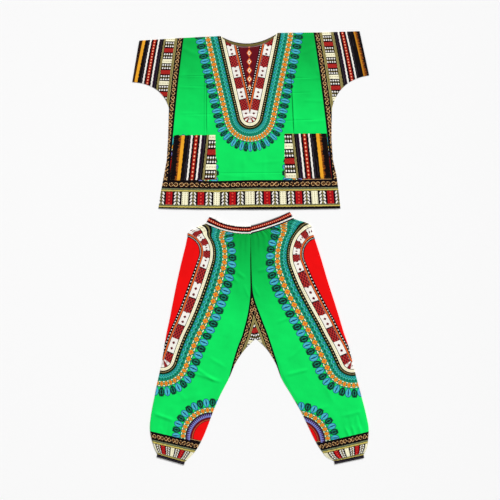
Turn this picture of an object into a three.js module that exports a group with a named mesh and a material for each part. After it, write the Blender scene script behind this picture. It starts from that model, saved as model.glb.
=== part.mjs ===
// A dashiki shirt and gathered trousers, laid out flat on a table, the shirt above the trousers.
// Millimetres, +Z up, +Y towards the shoulders. The origin is under the middle of the set, on the table.
// Every piece of cloth is a thin wall: a grid of nodes, each with a point on its outer and its inner face.

import * as THREE from 'three';

// Driving dimensions

const WALL = 1.2;            // one layer of cotton
const GAP = 0.3;             // between pieces, at seams and between layers
const BAND_SEAM_GAP = 0.35;  // between a leg and its waistband or casing

const SHIRT = {
  sleeveEndTop: { left: [-462, 860], right: [451, 899] },
  sleeveEndFoot: { left: [-491, 688], right: [491, 716] },
  armholeTop: { left: [-302, 870], right: [296, 894] },
  underarmPull: { left: [-370, 682], right: [368, 699] },   // pulls the curve under each sleeve
  neckPoint: { left: [-126, 879], right: [113, 892] },
  hemSag: 4,
};
const NECK_BACK = { depth: 37, roundness: 2.0 };
const NECK_FRONT = { depth: 54, roundness: 2.6 };
const FACING = { width: 12, wall: 1.0, clearOfShoulder: 0.03 };

const POCKET_WALL = 1.2;
const POCKETS = {
  left: { topOuter: [-318, 466], topInner: [-147, 468], footInner: [-142, 284], footOuter: [-338, 279] },
  right: { topInner: [140, 473], topOuter: [315, 474], footOuter: [335, 287], footInner: [141, 290] },
};

const BAND = {
  height: 34.5,
  frontDrop: 4,              // how much lower the front's top edge is than the back's
  dropFrom: 0.33,            // the share of the width, from the fold, at which it is that much lower
  wall: 2.4,
  layerGap: 0.7,
  rounding: 0.9,
  ruffle: 0.8,
  waves: 12,
};
const CASING = { height: 12, wall: 1.8, layerGap: 0.4, rounding: 0.5, ruffle: 0.6, waves: 9 };
const WAVE_START = { waist: 0, cuff: 0.3, band: 0.1 };   // where the first wave begins, in waves
const LEG_FOLD_GAP = 1.0;    // air inside the fold at a leg's outer side
const WAIST_WAVES = 10;      // gathers across one leg's front at the waist
const CUFF_WAVES = 8;        // gathers across one leg's front at the ankle
const WANDER = { reach: 0.016, cycles: 2.3 };   // how unevenly gathers are spaced, as shares of a width
const FLAT_AT_EDGES = 0.05;  // the share of a width at each edge over which gathers die away

// Short tables, one row for each section or fold

function table(names, ...rows) {
  return rows.map((row) => Object.fromEntries(names.map((name, i) => [name, row[i]])));
}

// The shirt's side seams, from the underarm down to the hem.
const SIDE_SEAMS = table(['y', 'left', 'right'],
  [581, -339, 337],
  [515, -341, 335.5],
  [448, -343, 335],
  [365, -348, 341],
  [300, -360, 356],
  [230, -373, 365],
  [164, -383, 372],
);

// Sections across each trouser leg, from the waist seam to the ankle: its outer fold, its seam or inner
// side, the dip of the section's line, the air under its front, and the height of the gathers from the
// waist and from the ankle.
const LEG_COLUMNS = ['outX', 'outY', 'inX', 'inY', 'dip', 'puff', 'waist', 'cuff'];
const LEFT_LEG = table(LEG_COLUMNS,
  [-188, 100, 0, 58, 13, 0.4, 1.7, 0.0],
  [-252, 72, 0, 34, 8, 0.8, 1.7, 0.0],
  [-262, 46, 0, 4, 4, 1.1, 1.2, 0.0],
  [-268, 18, 0, -30, 0, 1.4, 0.6, 0.0],
  [-285, -50, 1, -108, 0, 1.4, 0.0, 0.0],
  [-304, -133, 4, -192, 0, 1.6, 0.0, 0.0],
  [-324, -233, 13, -284, 0, 1.8, 0.0, 0.0],
  [-337, -300, 21, -375, 0, 1.8, 0.0, 0.0],
  [-347, -345, -22, -418, 0, 1.8, 0.0, 0.0],
  [-358, -407, -62, -476, 0, 1.9, 0.0, 0.0],
  [-368, -473, -89, -538, 0, 1.9, 0.0, 0.0],
  [-385, -548, -125, -608, 0, 1.9, 0.0, 0.0],
  [-400, -623, -156, -679, 0, 1.8, 0.0, 0.0],
  [-414, -698, -183, -751, 0, 1.6, 0.0, 0.4],
  [-418, -748, -203, -797, 0, 1.2, 0.0, 1.0],
  [-411, -793, -225, -836, 0, 0.8, 0.0, 1.6],
  [-399, -830, -249, -865, 0, 0.5, 0.0, 1.8],
  [-387, -854, -273, -887, 0, 0.3, 0.0, 1.8],
);
const RIGHT_LEG = table(LEG_COLUMNS,
  [180, 120, 0, 58, 4, 0.4, 1.7, 0.0],
  [242, 99, 0, 34, 2, 0.8, 1.7, 0.0],
  [256, 66, 0, 4, 0, 1.1, 1.2, 0.0],
  [267, 33, 0, -30, 0, 1.4, 0.6, 0.0],
  [291, -42, 1, -108, 0, 1.4, 0.0, 0.0],
  [318, -133, 4, -192, 0, 1.6, 0.0, 0.0],
  [350, -233, 13, -284, 0, 1.8, 0.0, 0.0],
  [368, -291, 21, -375, 0, 1.8, 0.0, 0.0],
  [384, -345, 62, -414, 0, 1.8, 0.0, 0.0],
  [405, -407, 103, -477, 0, 1.9, 0.0, 0.0],
  [422, -473, 128, -541, 0, 1.9, 0.0, 0.0],
  [441, -548, 169, -610, 0, 1.9, 0.0, 0.0],
  [461, -623, 210, -681, 0, 1.8, 0.0, 0.0],
  [480, -698, 244, -752, 0, 1.6, 0.0, 0.4],
  [489, -748, 267, -799, 0, 1.2, 0.0, 1.0],
  [487, -793, 291, -838, 0, 0.8, 0.0, 1.6],
  [481, -830, 317, -869, 0, 0.5, 0.0, 1.8],
  [468, -858, 346, -884, 0, 0.3, 0.0, 1.8],
);
const BAND_END_UP = { left: [0.5, 0.866], right: [-0.53, 0.85] };   // which way each band end points

// Soft ridges in the front layers: each has its two ends, its height and its reach to each side. Those of
// the shirt are clear of its pockets.
const RIDGE_COLUMNS = ['fromX', 'fromY', 'toX', 'toY', 'rise', 'reach'];
const SHIRT_RIDGES = table(RIDGE_COLUMNS,
  [-184, 770, -182, 540, 1.1, 26],
  [172, 780, 170, 540, 1.1, 26],
  [-325, 640, -262, 800, 1.4, 30],
  [325, 650, 262, 815, 1.4, 30],
  [-60, 420, -20, 300, 0.8, 30],
  [84, 410, 60, 300, 0.8, 26],
);
const LEG_RIDGES = table(RIDGE_COLUMNS,
  [-140, -40, -40, -160, 1.0, 30],
  [-60, -330, -140, -440, 1.0, 34],
  [-215, -490, -107, -560, 0.9, 36],
  [-400, -690, -310, -716, 0.8, 32],
  [40, -60, 150, -190, 1.0, 30],
  [120, -450, 210, -360, 1.0, 34],
  [142, -545, 262, -500, 0.9, 36],
  [400, -560, 455, -720, 0.8, 34],
);
const NECK_SWELL = { x: -6, y: 885, rise: 1.4, full: 135, none: 200 };   // where the facing lifts the front

const COLOURS = {
  green: '#07c850',
  border: '#2b1712',
  stripes: '#20191a',
  olive: '#8d8352',
  band: '#7b2018',
};

// Small helpers

const mix = (a, b, t) => a + (b - a) * t;
const mixPoint = (a, b, t) => a.map((value, i) => mix(value, b[i], t));
const ease = (t) => {
  const clamped = Math.min(1, Math.max(0, t));
  return clamped * clamped * (3 - 2 * clamped);
};

// One wave is 0 at its foot and 1 at its top. The waves are spaced a little unevenly.
function gatherWave(share, waves, shift) {
  const wander = WANDER.reach * Math.sin(2 * Math.PI * (WANDER.cycles * share + shift));
  return 0.5 - 0.5 * Math.cos(2 * Math.PI * (waves * (share + wander) + shift));
}

// A closed solid from patches of nodes. Nodes at the same place are shared, so patches that meet are sewn
// together, and every edge that only one cell uses gets a side wall.
function clothSolid(patches) {
  const ids = new Map();
  const outer = [];
  const inner = [];
  const idOf = (node) => {
    const key = node.outer.map((value) => value.toFixed(4)).join(' ');
    if (!ids.has(key)) {
      ids.set(key, outer.length);
      outer.push(node.outer);
      inner.push(node.inner);
    }
    return ids.get(key);
  };
  const triangles = [];
  const edges = new Map();
  const addCell = (...corners) => {
    corners.forEach((from, i) => {
      const to = corners[(i + 1) % corners.length];
      edges.set(`${from} ${to}`, [from, to]);
    });
    triangles.push([corners[0], corners[1], corners[2]], [corners[0], corners[2], corners[3]]);
  };
  for (const patch of patches) {
    for (let i = 0; i + 1 < patch.length; i += 1) {
      for (let j = 0; j + 1 < patch[i].length; j += 1) {
        addCell(idOf(patch[i][j]), idOf(patch[i + 1][j]), idOf(patch[i + 1][j + 1]), idOf(patch[i][j + 1]));
      }
    }
  }
  const count = outer.length;
  const faces = triangles.flatMap(([a, b, c]) => [[a, b, c], [a + count, c + count, b + count]]);
  for (const [from, to] of edges.values()) {
    if (!edges.has(`${to} ${from}`)) {
      faces.push([to, from, from + count], [to, from + count, to + count]);
    }
  }
  const points = [...outer, ...inner];
  const geometry = new THREE.BufferGeometry();
  geometry.setAttribute('position', new THREE.Float32BufferAttribute(points.flat(), 3));
  const outward = volumeOf(points, faces) > 0;
  geometry.setIndex(faces.flatMap(([a, b, c]) => (outward ? [a, b, c] : [a, c, b])));
  geometry.computeVertexNormals();
  return geometry;
}

function volumeOf(points, faces) {
  const [a, b, c] = [new THREE.Vector3(), new THREE.Vector3(), new THREE.Vector3()];
  return faces.reduce((sum, face) => {
    a.fromArray(points[face[0]]);
    b.fromArray(points[face[1]]);
    c.fromArray(points[face[2]]);
    return sum + a.dot(b.cross(c)) / 6;
  }, 0);
}

// A four-sided patch of plan points between its top, foot, left and right edges, which share their corners.
function fillPatch(top, foot, left, right) {
  const rows = left.length - 1;
  const columns = top.length - 1;
  return left.map((leftPoint, i) => top.map((topPoint, j) => {
    const v = i / rows;
    const u = j / columns;
    return [0, 1].map((axis) => {
      const across = mix(leftPoint[axis], right[i][axis], u);
      const down = mix(topPoint[axis], foot[j][axis], v);
      const corners = mix(
        mix(top[0][axis], top[columns][axis], u),
        mix(foot[0][axis], foot[columns][axis], u),
        v,
      );
      return across + down - corners;
    });
  }));
}

function line(from, to, steps) {
  return Array.from({ length: steps + 1 }, (_, i) => mixPoint(from, to, i / steps));
}

function bezier(from, pull, to, steps) {
  return Array.from({ length: steps + 1 }, (_, i) => {
    const t = i / steps;
    return mixPoint(mixPoint(from, pull, t), mixPoint(pull, to, t), t);
  });
}

function distanceToRidge(x, y, ridge) {
  const [alongX, alongY] = [ridge.toX - ridge.fromX, ridge.toY - ridge.fromY];
  const share = ((x - ridge.fromX) * alongX + (y - ridge.fromY) * alongY) / (alongX ** 2 + alongY ** 2);
  const near = Math.min(1, Math.max(0, share));
  return Math.hypot(x - ridge.fromX - near * alongX, y - ridge.fromY - near * alongY);
}

// The height that a table's ridges add at a plan point.
function ridgeHeight(ridges, x, y) {
  return ridges.reduce(
    (sum, ridge) => sum + ridge.rise * Math.exp(-((distanceToRidge(x, y, ridge) / ridge.reach) ** 2)),
    0,
  );
}

// The shirt

// A point of a neckline, at a share of the way from the left neck point to the right one.
function necklinePoint(neck, share) {
  const [x, y] = mixPoint(SHIRT.neckPoint.left, SHIRT.neckPoint.right, share);
  return [x, y - neck.depth * (1 - Math.abs(2 * share - 1) ** neck.roundness)];
}

// The point at a share of the way down a side seam, from the underarm to the hem.
function sideSeamPoint(side, share) {
  const spot = share * (SIDE_SEAMS.length - 1);
  const row = Math.min(Math.floor(spot), SIDE_SEAMS.length - 2);
  const [above, below] = [SIDE_SEAMS[row], SIDE_SEAMS[row + 1]];
  return mixPoint([above[side], above.y], [below[side], below.y], spot - row);
}

// The plan of a shirt panel with its sleeves in one piece: the body and two sleeves, as patches of points.
function shirtPlan(neck, count) {
  const shoulder = (side) => line(SHIRT.armholeTop[side], SHIRT.neckPoint[side], count.shoulder);
  const neckline = Array.from({ length: count.neck + 1 }, (_, i) => necklinePoint(neck, i / count.neck));
  const top = [...shoulder('left'), ...neckline.slice(1), ...shoulder('right').reverse().slice(1)];
  const armhole = (side) => line(SHIRT.armholeTop[side], sideSeamPoint(side, 0), count.armhole);
  const edge = (side) => [
    ...armhole(side),
    ...Array.from({ length: count.side }, (_, i) => sideSeamPoint(side, (i + 1) / count.side)),
  ];
  const [leftEdge, rightEdge] = [edge('left'), edge('right')];
  const foot = line(leftEdge.at(-1), rightEdge.at(-1), top.length - 1).map(([x, y], j, all) => {
    const share = j / (all.length - 1);
    return [x, y - SHIRT.hemSag * 4 * share * (1 - share)];
  });
  const sleeve = (side) => fillPatch(
    line(SHIRT.sleeveEndTop[side], SHIRT.armholeTop[side], count.sleeve),
    bezier(SHIRT.sleeveEndFoot[side], SHIRT.underarmPull[side], sideSeamPoint(side, 0), count.sleeve),
    line(SHIRT.sleeveEndTop[side], SHIRT.sleeveEndFoot[side], count.armhole),
    armhole(side),
  );
  const rightSleeve = sleeve('right').map((row) => row.reverse());
  return [fillPatch(top, foot, leftEdge, rightEdge), sleeve('left'), rightSleeve];
}

// The height of the underside of the shirt's front.
function shirtFrontUnderside(x, y) {
  const fromNeck = Math.hypot(x - NECK_SWELL.x, y - NECK_SWELL.y);
  const swell = NECK_SWELL.rise * ease((NECK_SWELL.none - fromNeck) / (NECK_SWELL.none - NECK_SWELL.full));
  return WALL + GAP + swell + ridgeHeight(SHIRT_RIDGES, x, y);
}

// Plan points lifted to a wall of cloth whose underside has the given height.
const lift = (plan, underside, wall) => plan.map((row) => row.map(([x, y]) => {
  const z = underside(x, y);
  return { outer: [x, y, z + wall], inner: [x, y, z] };
}));

function shirtFront() {
  const count = { shoulder: 6, neck: 14, armhole: 7, side: 14, sleeve: 6 };
  return clothSolid(shirtPlan(NECK_FRONT, count).map((plan) => lift(plan, shirtFrontUnderside, WALL)));
}

function shirtBack() {
  const count = { shoulder: 2, neck: 14, armhole: 3, side: 6, sleeve: 6 };
  return clothSolid(shirtPlan(NECK_BACK, count).map((plan) => lift(plan, () => 0, WALL)));
}

// The facing turned to the inside of the back neck, which shows above the front's neckline.
function neckFacing() {
  const steps = 20;
  const plan = [GAP, FACING.width].map((inset) => Array.from({ length: steps + 1 }, (_, i) => {
    const share = mix(FACING.clearOfShoulder, 1 - FACING.clearOfShoulder, i / steps);
    const [x, y] = necklinePoint(NECK_BACK, share);
    return [x, y - inset];
  }));
  return clothSolid([lift(plan, () => WALL + GAP, FACING.wall)]);
}

function pocket(side) {
  const corners = POCKETS[side];
  const steps = 5;
  const plan = fillPatch(
    line(corners.topOuter, corners.topInner, steps),
    line(corners.footOuter, corners.footInner, steps),
    line(corners.topOuter, corners.footOuter, steps),
    line(corners.topInner, corners.footInner, steps),
  );
  const underside = (x, y) => shirtFrontUnderside(x, y) + WALL + GAP;
  return clothSolid([lift(plan, underside, POCKET_WALL)]);
}

// The trousers

// A plan point on a leg's section, from its outer fold at 0 to its seam at 1.
function sectionPoint(row, share, seamInset) {
  const [x, y] = mixPoint([row.outX, row.outY], [row.inX + seamInset, row.inY], share);
  return [x, y - row.dip * 4 * share * (1 - share)];
}

const widthOf = (row) => Math.hypot(row.inX - row.outX, row.inY - row.outY);

// 1 over the middle of a width and 0 at both of its edges.
const clearOfEdges = (share) => ease(share / FLAT_AT_EDGES) * ease((1 - share) / FLAT_AT_EDGES);

// Half of a flattened tube, as one row of nodes: the front from the seam to the outer fold, round the fold,
// and the back to the seam again, flat on the table. topAt gives the front's outer and inner heights.
function foldedRow({ planAt, width, wall, layerGap, topAt, frontSteps, backSteps }) {
  const radius = wall + layerGap / 2;
  const foldShare = radius / width;
  const front = Array.from({ length: frontSteps + 1 }, (_, i) => {
    const share = mix(1, foldShare, i / frontSteps);
    const [x, y] = planAt(share, 'front');
    const top = topAt(share, [x, y]);
    return { outer: [x, y, top.outer], inner: [x, y, top.inner] };
  });
  const centre = planAt(foldShare, 'back');
  const tip = planAt(0, 'back');
  const reachTo = Math.hypot(tip[0] - centre[0], tip[1] - centre[1]);
  const foldPoint = (degrees, reach) => {
    const angle = THREE.MathUtils.degToRad(degrees);
    const spot = mixPoint(centre, tip, (reach * Math.cos(angle)) / reachTo);
    return [...spot, radius + reach * Math.sin(angle)];
  };
  const fold = [45, 0, -45].map((degrees) => (
    { outer: foldPoint(degrees, radius), inner: foldPoint(degrees, radius - wall) }));
  const back = Array.from({ length: backSteps + 1 }, (_, i) => {
    const [x, y] = planAt(mix(foldShare, 1, i / backSteps), 'back');
    return { outer: [x, y, 0], inner: [x, y, wall] };
  });
  return [...front, ...fold, ...back];
}

// The heights of a leg's front: the layers, the air between them, the gathers and the folds.
function legTopAt(row, share, [x, y]) {
  const outerFold = 2 * WALL + LEG_FOLD_GAP;
  const seam = 2 * WALL + GAP;
  const puff = row.puff * Math.sin(Math.PI * share);
  const gathers = row.waist * gatherWave(share, WAIST_WAVES, WAVE_START.waist)
    + row.cuff * gatherWave(share, CUFF_WAVES, WAVE_START.cuff);
  const relief = gathers + ridgeHeight(LEG_RIDGES, x, y);
  const outer = mix(outerFold, seam, ease(share)) + puff + relief * clearOfEdges(share);
  return { outer, inner: outer - WALL };
}

function leg(rows, seamInset) {
  return clothSolid([rows.map((row) => foldedRow({
    planAt: (share) => sectionPoint(row, share, seamInset),
    width: widthOf(row),
    wall: WALL,
    layerGap: LEG_FOLD_GAP,
    topAt: (share, spot) => legTopAt(row, share, spot),
    frontSteps: 40,
    backSteps: 4,
  }))]);
}

// The height of a gathered band with rounded long edges over its plain inside. level runs across the
// band from 0 to 1.
function bandTop(band, share, level) {
  const ruffle = band.ruffle * gatherWave(share, band.waves, WAVE_START.band);
  const rounding = band.rounding * Math.abs(2 * level - 1) ** 3;
  return 2 * band.wall + band.layerGap + (ruffle - rounding) * clearOfEdges(share);
}

const bandInside = (band) => band.wall + band.layerGap;

// One half of the elastic waistband, folded round the side and sewn above the leg's first row. In front
// its top edge is a little lower than behind.
function waistband(rows, side, seamInset) {
  const levels = [0, 0.2, 0.8, 1];
  return clothSolid([levels.map((level) => foldedRow({
    planAt: (share, layer) => {
      const [x, y] = sectionPoint(rows[0], share, seamInset);
      const up = mixPoint(BAND_END_UP[side], [0, 1], ease(share));
      const drop = layer === 'front' ? BAND.frontDrop * ease(share / BAND.dropFrom) : 0;
      const height = BAND.height - drop;
      const rise = BAND_SEAM_GAP + height * level;
      return [x + up[0] * rise, y + up[1] * rise];
    },
    width: widthOf(rows[0]),
    wall: BAND.wall,
    layerGap: BAND.layerGap,
    topAt: (share) => ({ outer: bandTop(BAND, share, level), inner: bandInside(BAND) }),
    frontSteps: 36,
    backSteps: 4,
  }))]);
}

// The elastic casing at a leg's ankle: a flattened ring, folded at both sides, below the leg's last row.
function ankleCasing(rows) {
  const row = rows.at(-1);
  const width = widthOf(row);
  const along = [(row.inX - row.outX) / width, (row.inY - row.outY) / width];
  const down = along[0] > 0 ? [along[1], -along[0]] : [-along[1], along[0]];
  const radius = CASING.wall + CASING.layerGap / 2;
  const [frontSteps, backSteps] = [27, 4];
  const ringAt = (level) => {
    const drop = BAND_SEAM_GAP + CASING.height * level;
    const at = (reach) => [
      row.outX + along[0] * reach + down[0] * drop,
      row.outY + along[1] * reach + down[1] * drop,
    ];
    const flatAt = (share) => at(mix(radius, width - radius, share));
    const front = Array.from({ length: frontSteps }, (_, i) => {
      const [x, y] = flatAt(i / frontSteps);
      return { outer: [x, y, bandTop(CASING, i / frontSteps, level)], inner: [x, y, bandInside(CASING)] };
    });
    const back = Array.from({ length: backSteps }, (_, i) => {
      const [x, y] = flatAt(1 - i / backSteps);
      return { outer: [x, y, 0], inner: [x, y, CASING.wall] };
    });
    const turn = (centre, angles) => angles.map((degrees) => {
      const angle = THREE.MathUtils.degToRad(degrees);
      const point = (reach) => [...at(centre + reach * Math.cos(angle)), radius + reach * Math.sin(angle)];
      return { outer: point(radius), inner: point(radius - CASING.wall) };
    });
    const ring = [
      ...front,
      ...turn(width - radius, [90, 45, 0, -45]),
      ...back,
      ...turn(radius, [-90, -135, 180, 135]),
    ];
    return [...ring, ring[0]];
  };
  return clothSolid([[0, 0.5, 1].map(ringAt)]);
}

// The set

const cloth = (color) => new THREE.MeshStandardMaterial({ color, roughness: 0.85, metalness: 0 });

function addPiece(group, name, geometry, material) {
  const mesh = new THREE.Mesh(geometry, material);
  mesh.name = name;
  group.add(mesh);
}

const set = new THREE.Group();
const green = cloth(COLOURS.green);
const striped = cloth(COLOURS.stripes);
const seamInset = GAP / 2;

addPiece(set, 'shirt_back', shirtBack(), green);
addPiece(set, 'shirt_front', shirtFront(), green);
addPiece(set, 'neck_facing', neckFacing(), cloth(COLOURS.olive));
addPiece(set, 'pocket_left', pocket('left'), striped);
addPiece(set, 'pocket_right', pocket('right'), striped);
addPiece(set, 'leg_left', leg(LEFT_LEG, -seamInset), green);
addPiece(set, 'leg_right', leg(RIGHT_LEG, seamInset), green);
addPiece(set, 'waistband_left', waistband(LEFT_LEG, 'left', -seamInset), cloth(COLOURS.band));
addPiece(set, 'waistband_right', waistband(RIGHT_LEG, 'right', seamInset), cloth(COLOURS.band));
addPiece(set, 'ankle_casing_left', ankleCasing(LEFT_LEG), cloth(COLOURS.border));
addPiece(set, 'ankle_casing_right', ankleCasing(RIGHT_LEG), cloth(COLOURS.border));

export default set;
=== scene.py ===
"""A dashiki shirt and gathered trousers of printed cotton, laid out flat on a pale floor."""

import logging
import math
from collections.abc import Callable, Sequence
from dataclasses import dataclass, field
from enum import Enum
from typing import Any

import bpy
import numpy as np
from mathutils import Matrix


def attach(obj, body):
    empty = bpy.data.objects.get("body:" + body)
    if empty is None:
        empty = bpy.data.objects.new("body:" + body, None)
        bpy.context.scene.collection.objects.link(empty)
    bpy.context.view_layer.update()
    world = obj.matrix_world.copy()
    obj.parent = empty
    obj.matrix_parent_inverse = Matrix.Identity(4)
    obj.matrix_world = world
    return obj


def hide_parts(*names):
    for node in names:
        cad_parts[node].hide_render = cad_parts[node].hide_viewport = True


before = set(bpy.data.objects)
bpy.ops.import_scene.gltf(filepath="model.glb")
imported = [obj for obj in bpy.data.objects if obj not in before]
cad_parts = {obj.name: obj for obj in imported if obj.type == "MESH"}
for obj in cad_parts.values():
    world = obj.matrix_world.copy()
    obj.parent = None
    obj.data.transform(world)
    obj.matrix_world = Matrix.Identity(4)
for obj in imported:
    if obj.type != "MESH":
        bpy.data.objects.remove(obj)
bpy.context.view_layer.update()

LOG = logging.getLogger("dashiki_set")

# Sizes are millimetres and heights are above the floor. A mesh is scaled to metres when it is made.
MM = 0.001
BODY = "root"

CLOTH = 0.65             # thickness of one layer of cotton as it shows
TURNED_CLOTH = 1.15      # thickness of a turned hem
CAD_WALL = 1.2           # room that the solids keep for one layer
CAD_GAP = 0.3
LAYER_CLEARANCE = 0.06   # between two layers that are sewn together
EDGE_STRIP = 0.05        # share of a width over which gathers die away at each end
STITCH = (3.4, 2.5, 0.5)  # a running stitch's pitch, length and thread

Rgba = tuple[float, float, float, float]
Point = tuple[float, float]
Array = np.ndarray
Values = Array | float
Material = bpy.types.Material
Tree = bpy.types.NodeTree


class Side(Enum):
    """A side of the garment, as it lies in front of the viewer."""

    LEFT = "left"
    RIGHT = "right"

    @property
    def sign(self) -> int:
        """Return -1 on the left and 1 on the right."""
        return -1 if self is Side.LEFT else 1


class Dye(Enum):
    """The print's dyes and the plain cloths' colours, as display values from 0 to 255."""

    # The next two are the field's one green, in painted shade and in painted light.
    FIELD_SHADED = (0, 172, 66)
    FIELD_LIT = (8, 232, 98)
    NIGHT = (11, 3, 6)
    SMOKE = (66, 60, 72)
    SAGE = (120, 128, 96)
    STRAW = (206, 190, 98)
    CREAM = (255, 250, 214)
    WHITE = (250, 246, 238)
    OLIVE = (112, 100, 52)
    KHAKI = (172, 160, 100)
    BRICK = (146, 14, 18)
    ROSE = (222, 66, 52)
    MAROON = (104, 10, 26)
    BEAD = (238, 96, 48)
    RING_TAN = (240, 190, 128)
    GOLD = (246, 172, 42)
    RUST = (150, 78, 18)
    ORANGE = (232, 104, 44)
    SCARLET = (244, 8, 10)
    TEAL = (14, 140, 108)
    TEAL_LIGHT = (84, 204, 196)
    SKY = (60, 158, 208)
    LEAF = (10, 62, 50)
    PLUM = (62, 30, 72)
    LAVENDER = (132, 140, 214)

    @property
    def rgba(self) -> Rgba:
        """Return the dye as linear light."""
        red, green, blue = (((value / 255 + 0.055) / 1.055) ** 2.4 if value > 10 else value / 3295
                            for value in self.value)
        return (red, green, blue, 1.0)


def mix(start: Values, end: Values, share: Values) -> Values:
    """Return the value a share of the way from start to end."""
    return start + (end - start) * share


def ease(share: Values) -> Values:
    """Return 0 below 0, 1 above 1 and a smooth step between."""
    held = np.clip(share, 0, 1)
    return held * held * (3 - 2 * held)


def bow(share: Values) -> Values:
    """Return 0 at both ends of a width and 1 in its middle."""
    return 4 * share * (1 - share)


def inside_edges(share: Values) -> Values:
    """Return 1 inside a width, falling to 0 at its two ends."""
    return ease(share / EDGE_STRIP) * ease((1 - share) / EDGE_STRIP)


def grid_of(*parts: Values) -> Array:
    """Return a grid of points from their coordinates, each spread over the whole grid."""
    return np.stack(np.broadcast_arrays(*parts), axis=-1)


def by_side(left: Any, right: Any) -> Any:
    """Return a dataclass field with one value for each side."""
    return field(default_factory=lambda: {Side.LEFT: left, Side.RIGHT: right})


def add_object(name: str, data: bpy.types.ID | None) -> bpy.types.Object:
    """Make an object and put it in the scene."""
    thing = bpy.data.objects.new(name, data)
    bpy.context.scene.collection.objects.link(thing)
    return thing


def start_material(name: str) -> tuple[Material, Tree, bpy.types.Node]:
    """Start a material, and return it with its tree and its shader."""
    material = bpy.data.materials.new(name)
    material.use_nodes = True
    return material, material.node_tree, material.node_tree.nodes["Principled BSDF"]


@dataclass(frozen=True)
class Gathers:
    """Waves of gathered cloth, spaced a little unevenly.

    Args:
        waves: how many there are across a width.
        shift: where the first one begins, in waves.
    """

    waves: float
    shift: float
    wander: float = 0.016
    wander_cycles: float = 2.3

    def height(self, share: Array) -> Array:
        """Return 0 at the foot of a wave and 1 at its top."""
        drift = self.wander * np.sin(2 * np.pi * (self.wander_cycles * share + self.shift))
        return 0.5 - 0.5 * np.cos(2 * np.pi * (self.waves * (share + drift) + self.shift))


@dataclass(frozen=True)
class Crease:
    """A soft ridge in a layer of cloth, or a trough where its rise is negative.

    Args:
        start: one end in plan.
        end: the other end in plan.
        rise: its height.
        reach: how far it spreads to each side.
        fade: the share of its length over which it dies away at each end.
    """

    start: Point
    end: Point
    rise: float
    reach: float
    fade: float = 0.0

    def height(self, x: Array, y: Array) -> Array:
        """Return the height that the crease adds at plan points."""
        along = np.subtract(self.end, self.start)
        share = ((x - self.start[0]) * along[0] + (y - self.start[1]) * along[1]) / (along @ along)
        near = np.clip(share, 0, 1)
        gap = np.hypot(x - self.start[0] - near * along[0], y - self.start[1] - near * along[1])
        strength = ease(near / self.fade) * ease((1 - near) / self.fade) if self.fade else 1
        return self.rise * strength * np.exp(-(gap / self.reach) ** 2)


def ridges(*rows: Sequence[float]) -> tuple[Crease, ...]:
    """Return creases from rows: start x and y, end x and y, rise, reach and, where there is one, fade."""
    return tuple(Crease(row[:2], row[2:4], *row[4:]) for row in rows)


def crease_height(creases: Sequence[Crease], x: Array, y: Array) -> Array:
    """Return the height that all the creases add at plan points."""
    return sum((crease.height(x, y) for crease in creases), np.zeros_like(x))


@dataclass(frozen=True)
class Ripple:
    """A long, low wave that runs over a whole panel."""

    length: float
    heading: float
    rise: float
    shift: float

    def height(self, x: Array, y: Array) -> Array:
        """Return the wave's height at plan points, from 0 up to twice its rise."""
        angle = math.radians(self.heading)
        along = x * math.cos(angle) + y * math.sin(angle)
        bend = 0.6 * np.sin((y * math.cos(angle) - x * math.sin(angle)) * 2 * np.pi / (2.7 * self.length))
        return self.rise * (1 + np.sin(2 * np.pi * along / self.length + bend + self.shift))


def uneven(x: Array, y: Array) -> Array:
    """Return the slight unevenness of cotton that has been folded and shaken out."""
    ripples = (Ripple(97, 12, 0.16, 0.4), Ripple(71, 104, 0.14, 1.9), Ripple(43, 61, 0.09, 3.1),
               Ripple(37, 148, 0.07, 0.8), Ripple(23, 84, 0.03, 2.2))
    return sum(ripple.height(x, y) for ripple in ripples)


def run(start: Sequence[float], end: Sequence[float], steps: int) -> Array:
    """Return evenly spaced plan points from start to end."""
    return mix(np.array(start, float), np.array(end, float), np.linspace(0, 1, steps + 1)[:, None])


def pulled_run(start: Sequence[float], pull: Sequence[float], end: Sequence[float], steps: int) -> Array:
    """Return plan points of a quadratic curve from start to end, pulled towards a third point."""
    share = np.linspace(0, 1, steps + 1)[:, None]
    start, pull, end = (np.array(point, float) for point in (start, pull, end))
    return mix(mix(start, pull, share), mix(pull, end, share), share)


def fill_patch(top: Array, foot: Array, left: Array, right: Array) -> Array:
    """Return a four-sided grid of plan points between four edges that share their corners."""
    u = np.linspace(0, 1, len(top))[None, :, None]
    v = np.linspace(0, 1, len(left))[:, None, None]
    across = mix(left[:, None], right[:, None], u)
    down = mix(top[None], foot[None], v)
    corners = mix(mix(top[0], top[-1], u), mix(foot[0], foot[-1], u), v)
    return across + down - corners


def resample(path: Array, steps: int) -> Array:
    """Return plan points in even steps along a path, where each of its stretches counts the same."""
    at = np.linspace(0, len(path) - 1, steps + 1)
    return np.stack([np.interp(at, np.arange(len(path)), path[:, axis]) for axis in (0, 1)], axis=1)


def distance_to_path(x: Array, y: Array, path: Array) -> Array:
    """Return how far plan points are from a path of straight stretches."""
    nearest = np.full(np.shape(x), np.inf)
    for (ax, ay), (bx, by) in zip(path[:-1], path[1:]):
        dx, dy = bx - ax, by - ay
        share = np.clip(((x - ax) * dx + (y - ay) * dy) / (dx * dx + dy * dy + 1e-9), 0, 1)
        nearest = np.minimum(nearest, np.hypot(x - ax - share * dx, y - ay - share * dy))
    return nearest


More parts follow.
